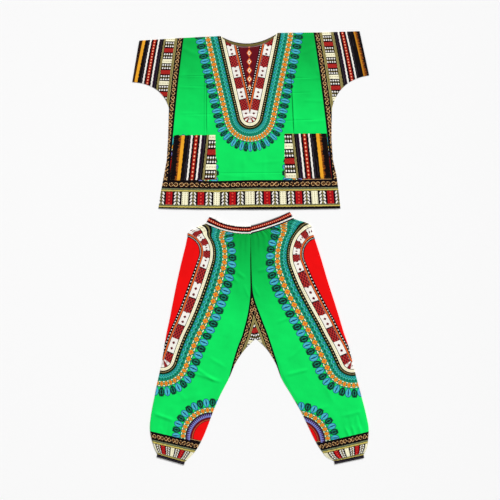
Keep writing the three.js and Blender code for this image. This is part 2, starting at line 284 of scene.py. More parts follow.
def smooth_through(knots: Array, values: Array, at: Array) -> Array:
    """Return a smooth curve through values at knots, read at other places.

    Args:
        knots: rising places.
        values: one row for each knot.
        at: the places to read.
    """
    slopes = np.gradient(values, knots, axis=0)
    cell = np.clip(np.searchsorted(knots, at, side="right") - 1, 0, len(knots) - 2)
    width = (knots[cell + 1] - knots[cell])[:, None]
    t = (at - knots[cell])[:, None] / width
    return ((2 * t ** 3 - 3 * t ** 2 + 1) * values[cell] + (t ** 3 - 2 * t ** 2 + t) * width * slopes[cell]
            + (3 * t ** 2 - 2 * t ** 3) * values[cell + 1] + (t ** 3 - t ** 2) * width * slopes[cell + 1])


class ClothWall:
    """Gathers grids of nodes into one closed wall of cloth.

    Each node has a point on the outer face, one on the inner face, and a place in the print. Grids that meet
    share their nodes, and every edge that only one cell uses gets a side wall.
    """

    NODES_PER_MM = 1000      # places to each millimetre; nodes at the same place are one
    SHARP = math.radians(55)

    def __init__(self, name: str) -> None:
        """Start an empty wall with the name of its piece."""
        self.name = name
        self.grids: list[tuple[Array, Array, Array]] = []

    def add(self, outer: Array, inner: Array, places: Array) -> None:
        """Add one grid.

        Args:
            outer: points of the outer face, rows by columns by 3.
            inner: points of the inner face, alike.
            places: places in the print, rows by columns by 2.
        """
        self.grids.append((outer, inner, places))

    def _faces(self, ids: Array, count: int) -> Array:
        """Return the wall's four-sided faces from the grids' node numbers."""
        cells = []
        start = 0
        for outer, _, _ in self.grids:
            rows, columns = outer.shape[:2]
            grid = ids[start:start + rows * columns].reshape(rows, columns)
            start += rows * columns
            corners = (grid[:-1, :-1], grid[1:, :-1], grid[1:, 1:], grid[:-1, 1:])
            cells.append(np.stack([corner.ravel() for corner in corners], axis=1))
        front = np.concatenate(cells)
        edges = np.concatenate([front[:, [0, 1]], front[:, [1, 2]], front[:, [2, 3]], front[:, [3, 0]]])
        lone = ~np.isin(edges[:, 0] * count + edges[:, 1], edges[:, 1] * count + edges[:, 0])
        start_node, end_node = edges[lone].T
        rim = np.stack([end_node, start_node, start_node + count, end_node + count], axis=1)
        return np.concatenate([front, front[:, ::-1] + count, rim])

    def make(self, material: Material) -> bpy.types.Object:
        """Make the wall's object, dressed in a material."""
        flat = [np.concatenate([part.reshape(-1, part.shape[-1]) for part in parts])
                for parts in zip(*self.grids)]
        keys = np.round(flat[0] * self.NODES_PER_MM).astype(np.int64)
        _, first, ids = np.unique(keys, axis=0, return_index=True, return_inverse=True)
        outer, inner, places = (values[first] for values in flat)
        count = len(first)
        points = np.concatenate([outer, inner])
        faces = self._faces(ids.ravel(), count)
        a, b, c, d = (points[faces[:, i]] for i in range(4))
        volume = np.einsum("ij,ij->", a, np.cross(b, c) + np.cross(c, d)) / 6
        if volume < 0:
            faces = faces[:, ::-1]
        mesh = bpy.data.meshes.new(self.name)
        mesh.from_pydata((points * MM).tolist(), [], faces.tolist())
        layer = mesh.attributes.new("print", "FLOAT_VECTOR", "POINT")
        wrong_side = np.repeat([0.0, 1.0], count)[:, None]
        layer.data.foreach_set("vector", np.hstack([np.tile(places, (2, 1)), wrong_side]).ravel())
        mesh.shade_smooth()
        mesh.set_sharp_from_angle(angle=self.SHARP)
        mesh.materials.append(material)
        return add_object(self.name, mesh)


def area_of(plan: Array) -> float:
    """Return the area of a grid of plan points, in square metres."""
    a, b, c, d = plan[:-1, :-1], plan[1:, :-1], plan[1:, 1:], plan[:-1, 1:]
    (px, py), (qx, qy) = np.moveaxis(c - a, -1, 0), np.moveaxis(d - b, -1, 0)
    return float(np.abs(px * qy - py * qx).sum() / 2) * MM * MM


def feed(tree: Tree, socket: bpy.types.NodeSocket, value: Any) -> None:
    """Link a field, an ink or a socket to a socket, or set a dye or a number on it."""
    source = value.source if isinstance(value, (Field, Ink)) else value
    if isinstance(source, bpy.types.NodeSocket):
        tree.links.new(source, socket)
    else:
        socket.default_value = source.rgba if isinstance(source, Dye) else source


def wrap(tree: Tree, socket: bpy.types.NodeSocket) -> "Field | Ink":
    """Wrap a group's socket: as an ink where its name starts with Ink, and as a field elsewhere."""
    return (Ink if socket.name.startswith("Ink") else Field)(tree, socket)


def _math(operation: str) -> "Callable[..., Field]":
    """Return a method of a field that adds one Math node, for the field and any further values."""
    def method(self: "Field", *others: "Field | float") -> "Field":
        """Add the node and return its result."""
        return self.sum(operation, self, *others)
    return method


class Field:
    """A number that changes over a surface: a socket of a shader tree, with sums that add their nodes."""

    def __init__(self, tree: Tree, source: bpy.types.NodeSocket) -> None:
        """Wrap a socket of a tree."""
        self.tree = tree
        self.source = source

    def sum(self, operation: str, *values: "Field | float") -> "Field":
        """Add a Math node that works on the values."""
        node = self.tree.nodes.new("ShaderNodeMath")
        node.operation = operation
        for socket, value in zip(node.inputs, values):
            feed(self.tree, socket, value)
        return Field(self.tree, node.outputs[0])

    __add__ = _math("ADD")
    __sub__ = _math("SUBTRACT")
    __mul__ = _math("MULTIPLY")
    __truediv__ = _math("DIVIDE")
    __abs__ = _math("ABSOLUTE")
    below = _math("LESS_THAN")        # 1 where it is less than a limit
    above = _math("GREATER_THAN")     # 1 where it is more than a limit
    near = _math("COMPARE")           # 1 where it is within a reach of a centre
    fold = _math("PINGPONG")          # to and fro between 0 and a half
    repeat = _math("FLOORED_MODULO")  # from 0 to a period, again and again
    least = _math("MINIMUM")
    most = _math("MAXIMUM")
    root = _math("SQRT")
    wave = _math("SINE")
    turn = _math("ARCTAN2")           # the angle whose tangent is it over another

    def __rsub__(self, other: float) -> "Field":
        """Return other - self."""
        return self.sum("SUBTRACT", other, self)

    def squared(self) -> "Field":
        """Return the value times itself."""
        return self * self

    def bands(self, stops: Sequence[tuple[float, Dye]], end: float) -> "Ink":
        """Return plain bands of dye along the value.

        Args:
            stops: where each band starts, rising, with its dye.
            end: where the last band ends.
        """
        start = stops[0][0]
        node = self.tree.nodes.new("ShaderNodeValToRGB")
        ramp = node.color_ramp
        ramp.interpolation = "CONSTANT"
        while len(ramp.elements) < len(stops):
            ramp.elements.new(1.0)
        for element, (place, dye) in zip(ramp.elements, stops):
            element.position = (place - start) / (end - start)
            element.color = dye.rgba
        feed(self.tree, node.inputs["Fac"], (self - start) / (end - start))
        return Ink(self.tree, node.outputs["Color"])


class Ink:
    """A colour that changes over a surface, with further dyes laid over it."""

    def __init__(self, tree: Tree, source: bpy.types.NodeSocket | Dye) -> None:
        """Wrap a colour socket, or a plain dye."""
        self.tree = tree
        self.source = source

    def over(self, mask: Field, dye: "Ink | Dye") -> "Ink":
        """Return this ink with a dye laid over it where the mask, from 0 to 1, is 1."""
        node = self.tree.nodes.new("ShaderNodeMix")
        node.data_type = "RGBA"
        for socket, value in zip((node.inputs["Factor"], *node.inputs[6:8]), (mask, self, dye)):
            feed(self.tree, socket, value)
        return Ink(self.tree, node.outputs[2])


class Group:
    """A shader node group with named inputs and outputs."""

    def __init__(self, name: str, inputs: Sequence[str], outputs: Sequence[str]) -> None:
        """Make the group; an output whose name starts with Ink is a colour, and all others are numbers."""
        self.tree = bpy.data.node_groups.new(name, "ShaderNodeTree")
        for way, labels in (("INPUT", inputs), ("OUTPUT", outputs)):
            for label in labels:
                kind = "NodeSocketColor" if label.startswith("Ink") else "NodeSocketFloat"
                self.tree.interface.new_socket(name=label, in_out=way, socket_type=kind)
        self.start = self.tree.nodes.new("NodeGroupInput")
        self.end = self.tree.nodes.new("NodeGroupOutput")

    def read(self, label: str) -> Field | Ink:
        """Return one of the group's inputs."""
        return wrap(self.tree, self.start.outputs[label])

    def give(self, label: str, value: Field | Ink) -> None:
        """Connect a value to one of the group's outputs."""
        feed(self.tree, self.end.inputs[label], value)

    def place(self, tree: Tree, values: dict[str, Field | Ink | float]) -> dict[str, Field | Ink]:
        """Place the group in a tree with its inputs' values, and return its outputs by name."""
        node = tree.nodes.new("ShaderNodeGroup")
        node.node_tree = self.tree
        for label, value in values.items():
            feed(tree, node.inputs[label], value)
        return {socket.name: wrap(tree, socket) for socket in node.outputs}


def noise(across: Field, along: Field, size: float, detail: float) -> Field:
    """Return smooth noise from 0 to 1.

    Args:
        across: one coordinate, in millimetres.
        along: the other coordinate.
        size: the size of its patches, in millimetres.
        detail: how many finer layers it has.
    """
    tree = across.tree
    place = tree.nodes.new("ShaderNodeCombineXYZ")
    node = tree.nodes.new("ShaderNodeTexNoise")
    node.noise_dimensions = "2D"
    feed(tree, place.inputs["X"], across)
    feed(tree, place.inputs["Y"], along)
    feed(tree, node.inputs["Vector"], place.outputs["Vector"])
    feed(tree, node.inputs["Scale"], 1 / size)
    feed(tree, node.inputs["Detail"], detail)
    return Field(tree, node.outputs["Fac"])


def ring_chain(ink: Ink, across: Field, along: Field, pitch: float, radius: float) -> Ink:
    """Draw a chain of linked pairs of rings over an ink.

    Args:
        ink: the ground.
        across: distance from the chain's centre line.
        along: distance along it.
        pitch: the length of a pair.
        radius: a ring's radius.
    """
    line = 1.05              # half the width of a drawn line
    place = along.repeat(pitch) - pitch / 2
    from_centre = abs(place) - radius * 1.02
    reach = (from_centre.squared() + across.squared()).root()
    ring = abs(reach - radius * 0.84).below(line)
    heart = reach.below(radius * 0.22)
    crossing = abs(across - place * 0.9).below(line) * abs(place).below(radius * 0.6)
    worn = noise(across, along, 6.5, 1).above(0.43)
    return ink.over(heart, Dye.RUST).over(ring.most(crossing) * worn, Dye.RING_TAN)


class BorderPrint:
    """The striped border at the cloth's sides: a chain of rings, blocks, beads and a gold edge."""

    FIELD_EDGE = 300.0
    LAST = 520.0
    STRIPES = (
        (300.0, Dye.NIGHT), (328.0, Dye.KHAKI), (331.5, Dye.OLIVE), (334.5, Dye.KHAKI), (338.5, Dye.NIGHT),
        (381.0, Dye.KHAKI), (384.0, Dye.OLIVE), (386.0, Dye.KHAKI), (388.0, Dye.NIGHT), (396.0, Dye.SMOKE),
        (397.5, Dye.NIGHT), (403.0, Dye.PLUM), (404.5, Dye.NIGHT), (408.0, Dye.WHITE), (414.5, Dye.NIGHT),
        (422.5, Dye.BRICK), (437.0, Dye.NIGHT), (444.0, Dye.WHITE), (450.5, Dye.NIGHT), (456.0, Dye.SMOKE),
        (457.5, Dye.NIGHT), (475.5, Dye.GOLD), (488.5, Dye.NIGHT),
    )
    CHAIN_CENTRE = 315.5
    CHAIN_PITCH = 33.0
    RING = 7.4
    HALF_REPEAT = 45.5       # from the middle of a cream block to the middle of a red one
    BLOCKS = (
        (0.0, Dye.CREAM), (8.2, Dye.NIGHT), (36.5, Dye.BRICK),
    )
    COLUMN = 10.25           # from one column of dots to the next
    DOT_ROWS = 22.2          # the middle between the two rows of dots
    DOT_SPREAD = 6.6

    def __init__(self) -> None:
        """Make the group."""
        self.group = Group("border_print", ("Across", "Along"), ("Ink", "Mask"))
        u, v = self.group.read("Across"), self.group.read("Along")
        wobble = noise(u, v, 9, 1) - 0.5
        drift = u + wobble * 2.2 + (v * 0.42).wave() * 0.5
        ink = drift.bands(self.STRIPES, self.LAST)
        ink = ring_chain(ink, u - self.CHAIN_CENTRE, v, self.CHAIN_PITCH, self.RING)
        ink = self._blocks(ink, u, v + wobble * 1.6)
        ink = self._streaks(ink, drift, v)
        ink = self._beads(ink, u, v)
        ink = self._flames(ink, u, v)
        self.group.give("Ink", ink)
        self.group.give("Mask", u.above(self.FIELD_EDGE))

    def _blocks(self, ink: Ink, u: Field, v: Field) -> Ink:
        """Draw the column of cream and red blocks with rows of dots between them."""
        repeat = v.fold(self.HALF_REPEAT)
        column = (u - 338.5).fold(self.COLUMN / 2) * -1 + self.COLUMN / 2
        from_rows = abs(repeat - self.DOT_ROWS)
        ring = (from_rows - self.DOT_SPREAD).squared() + column.squared()
        seed = from_rows.squared() * 3 + column.squared()
        mottle = ((u * 1.2).wave() * (repeat * 0.8).wave()).above(0.3) * repeat.above(38.0)
        blocks = repeat.bands(self.BLOCKS, self.HALF_REPEAT)
        blocks = blocks.over(ring.below(3.3 ** 2), Dye.WHITE).over(seed.below(3.6 ** 2), Dye.OLIVE)
        blocks = blocks.over(mottle, Dye.ROSE).over(repeat.below(1.0) * column.below(3.6), Dye.OLIVE)
        return ink.over(u.near(359.7, 20.3), blocks)

    def _streaks(self, ink: Ink, u: Field, v: Field) -> Ink:
        """Draw thin grey streaks in the two black stripes."""
        fine = noise(u * 9, v * 0.35, 22, 2).above(0.62)
        zones = u.near(398, 8.5).most(u.near(464, 8.5))
        return ink.over(fine * zones * u.fold(2.6).below(0.6), Dye.SMOKE)

    def _beads(self, ink: Ink, u: Field, v: Field) -> Ink:
        """Draw the column of beads between the white lines."""
        along = v.repeat(12.0) - 6.0
        bead = along.squared() * 0.8 + (u - 429.8).squared()
        fringe = abs(u - 430).above(6.6) * u.near(430, 9.5) * v.fold(2.6).below(1.3)
        ink = ink.over(fringe, Dye.NIGHT)
        return ink.over(bead.below(3.9 ** 2), Dye.BEAD).over(bead.below(1.6 ** 2), Dye.CREAM)

    def _flames(self, ink: Ink, u: Field, v: Field) -> Ink:
        """Draw the gold stripe's ragged outer side."""
        ragged = noise(u * 0.15, v, 2.6, 2) * 26 + 482
        outer = u.above(488.5)
        return ink.over(outer * u.below(ragged), Dye.RUST).over(outer * u.below(ragged - 9), Dye.GOLD)


class HemPrint:
    """The border along the cloth's foot: a chain of rings above a row of blocks and barbed columns."""

    TOP = 117.0
    BLOCK_TOP = 70.0
    BANDS = (
        (0.0, Dye.NIGHT), (5.5, Dye.STRAW), (10.5, Dye.OLIVE), (13.0, Dye.SAGE), (16.0, Dye.NIGHT),
        (70.0, Dye.OLIVE), (72.5, Dye.STRAW), (77.5, Dye.NIGHT), (79.5, Dye.SAGE), (84.0, Dye.NIGHT),
    )
    FIRST_RED = 59.5
    HALF_REPEAT = 57.7       # from the middle of a red block to the middle of a cream one
    COLUMNS = (
        (0.0, Dye.BRICK), (12.8, Dye.NIGHT), (46.0, Dye.CREAM),
    )
    COLUMN = 28.5
    ROW = 13.7

    def __init__(self) -> None:
        """Make the group."""
        self.group = Group("hem_print", ("Across", "Up"), ("Ink", "Mask"))
        u, v = self.group.read("Across"), self.group.read("Up")
        wobble = noise(u, v, 9, 1) - 0.5
        rise = v + wobble * 2.2 + (u * 0.5).wave() * 0.5
        ink = rise.bands(self.BANDS, self.TOP)
        ink = ring_chain(ink, v - 100, u + 8, 38.0, 8.4)
        ink = self._blocks(ink, u + wobble * 1.6, rise)
        self.group.give("Ink", ink)
        self.group.give("Mask", v.below(self.TOP))

    def _blocks(self, ink: Ink, u: Field, v: Field) -> Ink:
        """Draw the red and cream blocks with a barbed column between each two."""
        place = (u - self.FIRST_RED).fold(self.HALF_REPEAT)
        columns = place.bands(self.COLUMNS, self.HALF_REPEAT)
        row = (v - 15.5).repeat(self.ROW) - self.ROW / 2
        from_column = abs(place - self.COLUMN)
        barb = from_column - 6.9
        slant = row * 0.7 + barb * 0.9
        columns = columns.over(barb.squared().below(3.8 ** 2) * slant.squared().below(3.3 ** 2), Dye.WHITE)
        columns = columns.over((from_column * 1.2 + abs(row)).below(6.0), Dye.KHAKI)
        columns = columns.over(from_column.squared().below(2.0) * abs(row).below(3.2), Dye.NIGHT)
        eye = (place.squared() + row.squared()).root()
        columns = columns.over(place.below(12.0) * 0.4, Dye.SCARLET)
        columns = columns.over(place.near(11.6, 1.2), Dye.MAROON).over(eye.near(5.8, 0.9), Dye.MAROON)
        columns = columns.over(eye.below(3.6), Dye.ROSE)
        dashes = (place * -1 + self.HALF_REPEAT).fold(4.4).below(0.8) * v.fold(4).below(2.6) * place.above(47)
        columns = columns.over(dashes, Dye.OLIVE)
        return ink.over(v.near(43.0, 27.0), columns)


class PanelRings:
    """The rings of a generic ornamental panel, from its toothed edge inwards."""

    BANDS = (
        (38.0, Dye.TEAL), (68.0, Dye.TEAL), (93.0, Dye.NIGHT), (108.0, Dye.CREAM), (119.0, Dye.NIGHT),
        (122.0, Dye.WHITE), (151.0, Dye.NIGHT), (153.0, Dye.ORANGE), (159.0, Dye.NIGHT),
    )
    PETAL = 10.5             # half the pitch of the petals at the edge
    PETAL_LENGTH = 40.0
    BEAD_PITCH = 21.0
    CORE = 170.0

    def __init__(self) -> None:
        """Make the group."""
        self.group = Group("panel_rings", ("Depth", "Along", "Ink ground", "Ink core"), ("Ink",))
        depth, along = self.group.read("Depth"), self.group.read("Along")
        ink = self._petals(self.group.read("Ink ground"), depth, along)
        rings = depth.bands(self.BANDS, self.CORE)
        rings = self._lozenges(rings, depth, along)
        rings = self._zigzag(rings, depth, along)
        rings = self._dots(rings, along, depth - 101, 9.5, 2.4, Dye.KHAKI)
        rings = self._dots(rings, along, depth - 113, 7.0, 1.2, Dye.OLIVE)
        rings = self._cells(rings, depth, along)
        rings = self._dots(rings, along, depth - 164.5, 10.0, 2.1, Dye.WHITE)
        ink = ink.over(depth.above(self.BANDS[0][0]), rings)
        self.group.give("Ink", ink.over(depth.above(self.CORE), self.group.read("Ink core")))

    def _petals(self, ink: Ink, depth: Field, along: Field) -> Ink:
        """Draw the row of petals at the panel's edge: round blue ones and barbed dark green ones in turn."""
        side = along.fold(self.PETAL) / self.PETAL
        rise = (depth - self.PETAL_LENGTH / 2) / (self.PETAL_LENGTH / 2)
        size = (side.squared() * 0.95 + rise.squared()).root()
        barbs = (along + depth * 0.4).fold(2.1).below(1.2) * depth.below(24.0)
        blue = (along + self.PETAL).repeat(self.PETAL * 4).below(self.PETAL * 2)
        green = 1 - blue
        petals = Ink(self.group.tree, Dye.LEAF).over(green * size.near(0.45, 0.1), Dye.TEAL)
        petals = petals.over(blue * size.below(0.9), Dye.SKY)
        petals = petals.over(blue * size.near(0.55, 0.12), Dye.TEAL_LIGHT)
        petals = petals.over(side.below(0.12) * size.below(0.7), Dye.NIGHT)
        mask = blue * size.below(1.0) + green * (size * 1.02 - barbs * 0.2).below(0.98)
        return ink.over(mask * depth.above(0.0), petals)

    def _lozenges(self, ink: Ink, depth: Field, along: Field) -> Ink:
        """Draw the row of gold lozenges with an orange eye and cream specks between."""
        side = along.fold(self.BEAD_PITCH / 2)
        across = abs(depth - 53.5)
        size = side / 10.0 + across / 12.5
        specks = (side - 8.5).squared() + (across - 8.5).squared()
        ink = ink.over(specks.below(2.3 ** 2), Dye.CREAM).over(size.below(1.1), Dye.LEAF)
        return ink.over(size.below(0.95), Dye.GOLD).over(size.below(0.55), Dye.ORANGE)

    def _zigzag(self, ink: Ink, depth: Field, along: Field) -> Ink:
        """Draw a light zigzag with dark and blue beads on the teal ring."""
        swing = along.fold(8.0)
        line = abs(depth - 76.5 - swing * 0.9).below(1.5)
        beads = along.fold(8.0).squared() + (depth - 87.5).squared()
        others = (along + 8).fold(8.0).squared() + (depth - 73).squared()
        ink = ink.over(depth.near(80.5, 12.5) * line, Dye.TEAL_LIGHT)
        return ink.over(beads.below(3.2 ** 2), Dye.SKY).over(others.below(2.8 ** 2), Dye.LEAF)

    def _dots(self, ink: Ink, along: Field, across: Field, pitch: float, radius: float, dye: Dye) -> Ink:
        """Draw a ring of dots."""
        return ink.over((along.fold(pitch / 2).squared() + across.squared()).below(radius ** 2), dye)

    def _cells(self, ink: Ink, depth: Field, along: Field) -> Ink:
        """Draw the ring of cells: lattice on red, and small lozenges on white, in turn."""
        place = along.repeat(92.0)
        red = place.above(46.0)
        side = along.fold(6.0)
        across = abs(depth - 136.5)
        lattice = abs(across.fold(6.0) - side).below(0.9)
        cells = Ink(self.group.tree, Dye.WHITE)
        cells = cells.over((along.fold(9.0) / 5 + across / 6.5).below(1), Dye.MAROON).over(red, Dye.MAROON)
        cells = cells.over(red * lattice, Dye.ROSE).over(place.fold(46.0).below(1.6), Dye.NIGHT)
        return ink.over(depth.near(136.5, 14.5), cells)


class PanelOutline:
    """Depth into an egg-shaped panel, and distance round it from its foot."""

    def __init__(self) -> None:
        """Make the group."""
        labels = ("Across", "Down", "Upper radius", "Lower radius", "Length", "Sine", "Cosine", "Turn")
        self.group = Group("panel_outline", labels, ("Depth", "Along"))
        x, y, upper, lower, length, sine, cosine, turn = (self.group.read(label) for label in labels)
        run_along = y * cosine - x * sine
        flat_length = length * cosine
        from_top = (x.squared() + y.squared()).root() - upper
        foot_y = y - length
        from_foot = (x.squared() + foot_y.squared()).root() - lower
        from_side = x * cosine + y * sine - upper
        is_top = run_along.below(0.0)
        is_foot = run_along.above(flat_length)
        depth = from_side + is_top * (from_top - from_side) + is_foot * (from_foot - from_side)
        foot_part = lower * x.turn(foot_y).least(turn)
        side_part = (flat_length - run_along).most(0.0).least(flat_length)
        top_part = upper * (x.turn(y) - turn).most(0.0)
        self.group.give("Depth", depth * -1)
        self.group.give("Along", foot_part + side_part + top_part)


class Weave:
    """Plain-woven cotton: yarn relief, faint crumple and uneven dye; its wrong side is paler."""

    YARN = 0.62

    def __init__(self) -> None:
        """Make the group."""
        self.group = Group("woven_cotton", ("Across", "Along", "Wrong side", "Ink print"), ("Ink", "Height"))
        u, v = self.group.read("Across"), self.group.read("Along")
        turns = 2 * math.pi / self.YARN
        yarns = (u * turns).wave() * (v * turns).wave()
        slubs = noise(u * 0.25, v, 1.1, 2)
        crumple = noise(u, v, 34, 4)
        uneven_dye = noise(u * 0.5, v * 0.3, 30, 3)
        shade = ((uneven_dye - 0.4) * 0.22 + (slubs - 0.4) * 0.12).most(0.0)
        ink = self.group.read("Ink print")
        ink = ink.over(shade, Dye.NIGHT)
        pale = self.group.read("Wrong side").above(0.99) * 0.2
        self.group.give("Ink", ink.over(pale, Dye.WHITE))
        self.group.give("Height", yarns * 0.006 + slubs * 0.03 + crumple * 0.7)


@dataclass(frozen=True)
class Panel:
    """Where an ornamental panel lies in the print, in the print's own millimetres.

    Args:
        centre_up: height of its upper round's centre above the printed hem.
        upper_radius: its upper round's radius.
        lower_radius: its lower round's radius.
        length: between the two rounds' centres.
        width_at_top: real width for one unit of print, at the upper round's centre.
        flare: how much that grows with each millimetre down.
        core: its middle's dye.
        motif: how much longer its motifs are than the smallest.
    """

    centre_up: float
    upper_radius: float
    lower_radius: float
    length: float
    width_at_top: float
    flare: float
    core: Dye
    motif: float = 1.0


@dataclass(frozen=True)
class PaintedFieldShade:
    """Painted shade and light on the green field: shaded above one height of the print, and lit below
    another.
    """

    shaded_above: float
    lit_below: float


@dataclass(frozen=True)
class Rosette:
    """A round ornament in the print.

    Args:
        across: its centre's distance from the print's middle line.
        up: its centre's height above the printed hem.
        radius: its radius in real millimetres.
        stretch: real width for one unit of print.
        lean: how much farther out it lies on the right.
    """

    across: float
    up: float
    radius: float
    stretch: float
    lean: float = 0.0


@dataclass(frozen=True)
class BorderLay:
    """How the print's borders lie on a piece.

    Args:
        left_start: how far down the side border's repeat starts on the left.
        right_start: the same on the right.
        tighter: how much tighter than on the shirt the side border's stripes lie.
        hem_squeeze: how much of the hem's block row is squeezed up.
        hem_out: how far out the hem's repeat starts on the left.
        hem_rise: how far up the hem's print lies on the right.
    """

    left_start: float
    right_start: float
    tighter: float = 0.0
    hem_squeeze: float = 0.0
    hem_out: float = 0.0
    hem_rise: float = 0.0


@dataclass(frozen=True)
class PressLine:
    """A sharp line where the cloth was folded for storage, too fine for the mesh.

    Args:
        upright: whether it runs up the print, or across it.
        place: where it crosses the print's zero line, on the other axis.
        slope: how far it leans for each millimetre of its length.
        start: the lower end of its length.
        end: the upper end of its length.
        rise: its height; below 0 it is a groove.
        reach: how far it spreads to each side.
    """

    upright: bool
    place: float
    slope: float
    start: float
    end: float
    rise: float
    reach: float


class PressRelief:
    """The relief of one press line."""

    FADE = 40.0
    LABELS = ("Side", "Length", "Place", "Slope", "Start", "End", "Rise", "Reach")

    def __init__(self) -> None:
        """Make the group."""
        self.group = Group("press_line", self.LABELS, ("Height",))
        side, length, place, slope, start, end, rise, reach = map(self.group.read, self.LABELS)
        near = (1 - abs(side - place - length * slope) / reach).most(0.0)
        ends = ((length - start) / self.FADE).least((end - length) / self.FADE).least(1.0).most(0.0)
        self.group.give("Height", near.squared() * (3 - near * 2) * ends * rise)


class PrintShop:
    """Holds the shared shader groups and makes the garment's finishes from them."""

    RIGHT_STEP = (386.0, 4.0)    # past the first, the right border's stripes lie the second farther out
    LEFT_STEP = (-468.0, 3.5)    # past the first, the left border's stripes lie the second farther in
    RIGHT_DARK = (481.5, 4.5)    # the middle and half the width of a dark stripe near the right edge
    RIGHT_RUST = (489.5, 3.5)    # the same of the rust stripe outside it
    LEFT_DARK = -485.0           # where the dark edge starts on the left
    RISE_REACH = 120.0           # how far left of the middle the hem's print starts to rise
    DRAWN_RADIUS = 161.0         # the radius at which the round ornament's rings are drawn
    MOTIF_TURN = 120.0           # the length that its motifs take for each radian
    RING_START = 162             # the radius at which its petals start
    RING_SCALE = 1.1             # how much smaller its rings are than a panel's
    PLY = 0.5                    # the length of one turn of a thread's ply

    def __init__(self) -> None:
        """Make the shared groups."""
        self.border = BorderPrint().group
        self.hem = HemPrint().group
        self.rings = PanelRings().group
        self.outline = PanelOutline().group
        self.weave = Weave().group
        self.press = PressRelief().group

    def _start(self, name: str) -> tuple[Material, Field, Field, Field]:
        """Start a material, and read the place in the print and the wrong side from the cloth."""
        material, tree, _ = start_material(name)
        place = tree.nodes.new("ShaderNodeAttribute")
        place.attribute_name = "print"
        parts = tree.nodes.new("ShaderNodeSeparateXYZ")
        tree.links.new(place.outputs["Vector"], parts.inputs["Vector"])
        return (material, *(Field(tree, parts.outputs[axis]) for axis in "XYZ"))

    def _finish(self, material: Material, ink: Ink, u: Field, v: Field, wrong: Field,
                lines: Sequence[PressLine] = ()) -> Material:
        """Weave the ink into cotton, press lines into it and connect it to the material's shader."""
        tree = material.node_tree
        cotton = self.weave.place(tree, {"Across": u, "Along": v, "Wrong side": wrong, "Ink print": ink})
        shader = tree.nodes["Principled BSDF"]
        feed(tree, shader.inputs["Base Color"], cotton["Ink"])
        bump = tree.nodes.new("ShaderNodeBump")
        bump.inputs["Strength"].default_value = 1.0
        bump.inputs["Distance"].default_value = MM
        height = cotton["Height"]
        for line in lines:
            height = height + self._press(line, u, v)
        feed(tree, bump.inputs["Height"], height)
        tree.links.new(bump.outputs["Normal"], shader.inputs["Normal"])
        shader.inputs["Roughness"].default_value = 0.78
        shader.inputs["Specular IOR Level"].default_value = 0.08
        shader.inputs["Sheen Weight"].default_value = 0.02
        return material

    def _press(self, line: PressLine, u: Field, v: Field) -> Field:
        """Place the relief of one press line."""
        side, length = (u, v) if line.upright else (v, u)
        values = {"Side": side, "Length": length}
        for label in PressRelief.LABELS[2:]:
            values[label] = getattr(line, label.lower())
        return self.press.place(u.tree, values)["Height"]

    def _panel(self, panel: Panel, u: Field, v: Field) -> dict[str, Field | Ink]:
        """Place the outline group for a panel."""
        sine = (panel.upper_radius - panel.lower_radius) / panel.length
        down = panel.centre_up - v
        return self.outline.place(u.tree, {
            "Across": u * (down * panel.flare + panel.width_at_top),
            "Down": down,
            "Upper radius": panel.upper_radius,
            "Lower radius": panel.lower_radius,
            "Length": panel.length,
            "Sine": sine,
            "Cosine": math.sqrt(1 - sine * sine),
            "Turn": math.acos(sine),
        })

    def printed(self, name: str, panel: Panel, shade: PaintedFieldShade, rosette: Rosette,
                lay: BorderLay, lines: Sequence[PressLine] = ()) -> Material:
        """Make the printed cotton of a shirt panel or a trouser leg.

        Args:
            name: the material's name.
            panel: the ornamental panel on the field.
            shade: the painted shade and light on the green field.
            rosette: the round ornament near the foot.
            lay: how the borders lie.
            lines: the press lines.
        """
        material, signed, v, wrong = self._start(name)
        tree = material.node_tree
        u = abs(signed)
        # The green field is painted with shade above one height of the print and with light below another.
        light = ((v - shade.shaded_above) / (shade.lit_below - shade.shaded_above)).most(0.0).least(1.0)
        ink = Ink(tree, Dye.FIELD_SHADED).over(light, Dye.FIELD_LIT)
        outline = self._panel(panel, u, v)
        values = {"Depth": outline["Depth"], "Along": outline["Along"] / panel.motif, "Ink ground": ink,
                  "Ink core": self._core(panel, u, v)}
        ink = self.rings.place(tree, values)["Ink"]
        ink = self._rosette(ink, rosette, u - signed.above(0.0) * rosette.lean, v)
        along_border = v + lay.right_start + signed.below(0.0) * (lay.left_start - lay.right_start)
        across = u + (u - BorderPrint.FIELD_EDGE).most(0.0) * lay.tighter
        (right_from, right_out), (left_from, left_in) = self.RIGHT_STEP, self.LEFT_STEP
        across = across - signed.above(right_from) * right_out + signed.below(left_from) * left_in
        border = self.border.place(tree, {"Across": across, "Along": along_border})
        edged = border["Ink"].over(signed.near(*self.RIGHT_DARK), Dye.NIGHT)
        edged = edged.over(signed.near(*self.RIGHT_RUST) * 0.5, Dye.RUST)
        edged = edged.over(signed.below(self.LEFT_DARK) * 0.85, Dye.NIGHT)
        ink = ink.over(border["Mask"], edged)
        rise = (signed / self.RISE_REACH + 1).most(0.0).least(1.0) * lay.hem_rise
        up = v - rise - (HemPrint.BLOCK_TOP - v).most(0.0) * lay.hem_squeeze
        hem = self.hem.place(tree, {"Across": u - signed.below(0.0) * lay.hem_out, "Up": up})
        return self._finish(material, ink.over(hem["Mask"], hem["Ink"]), signed, v, wrong, lines)

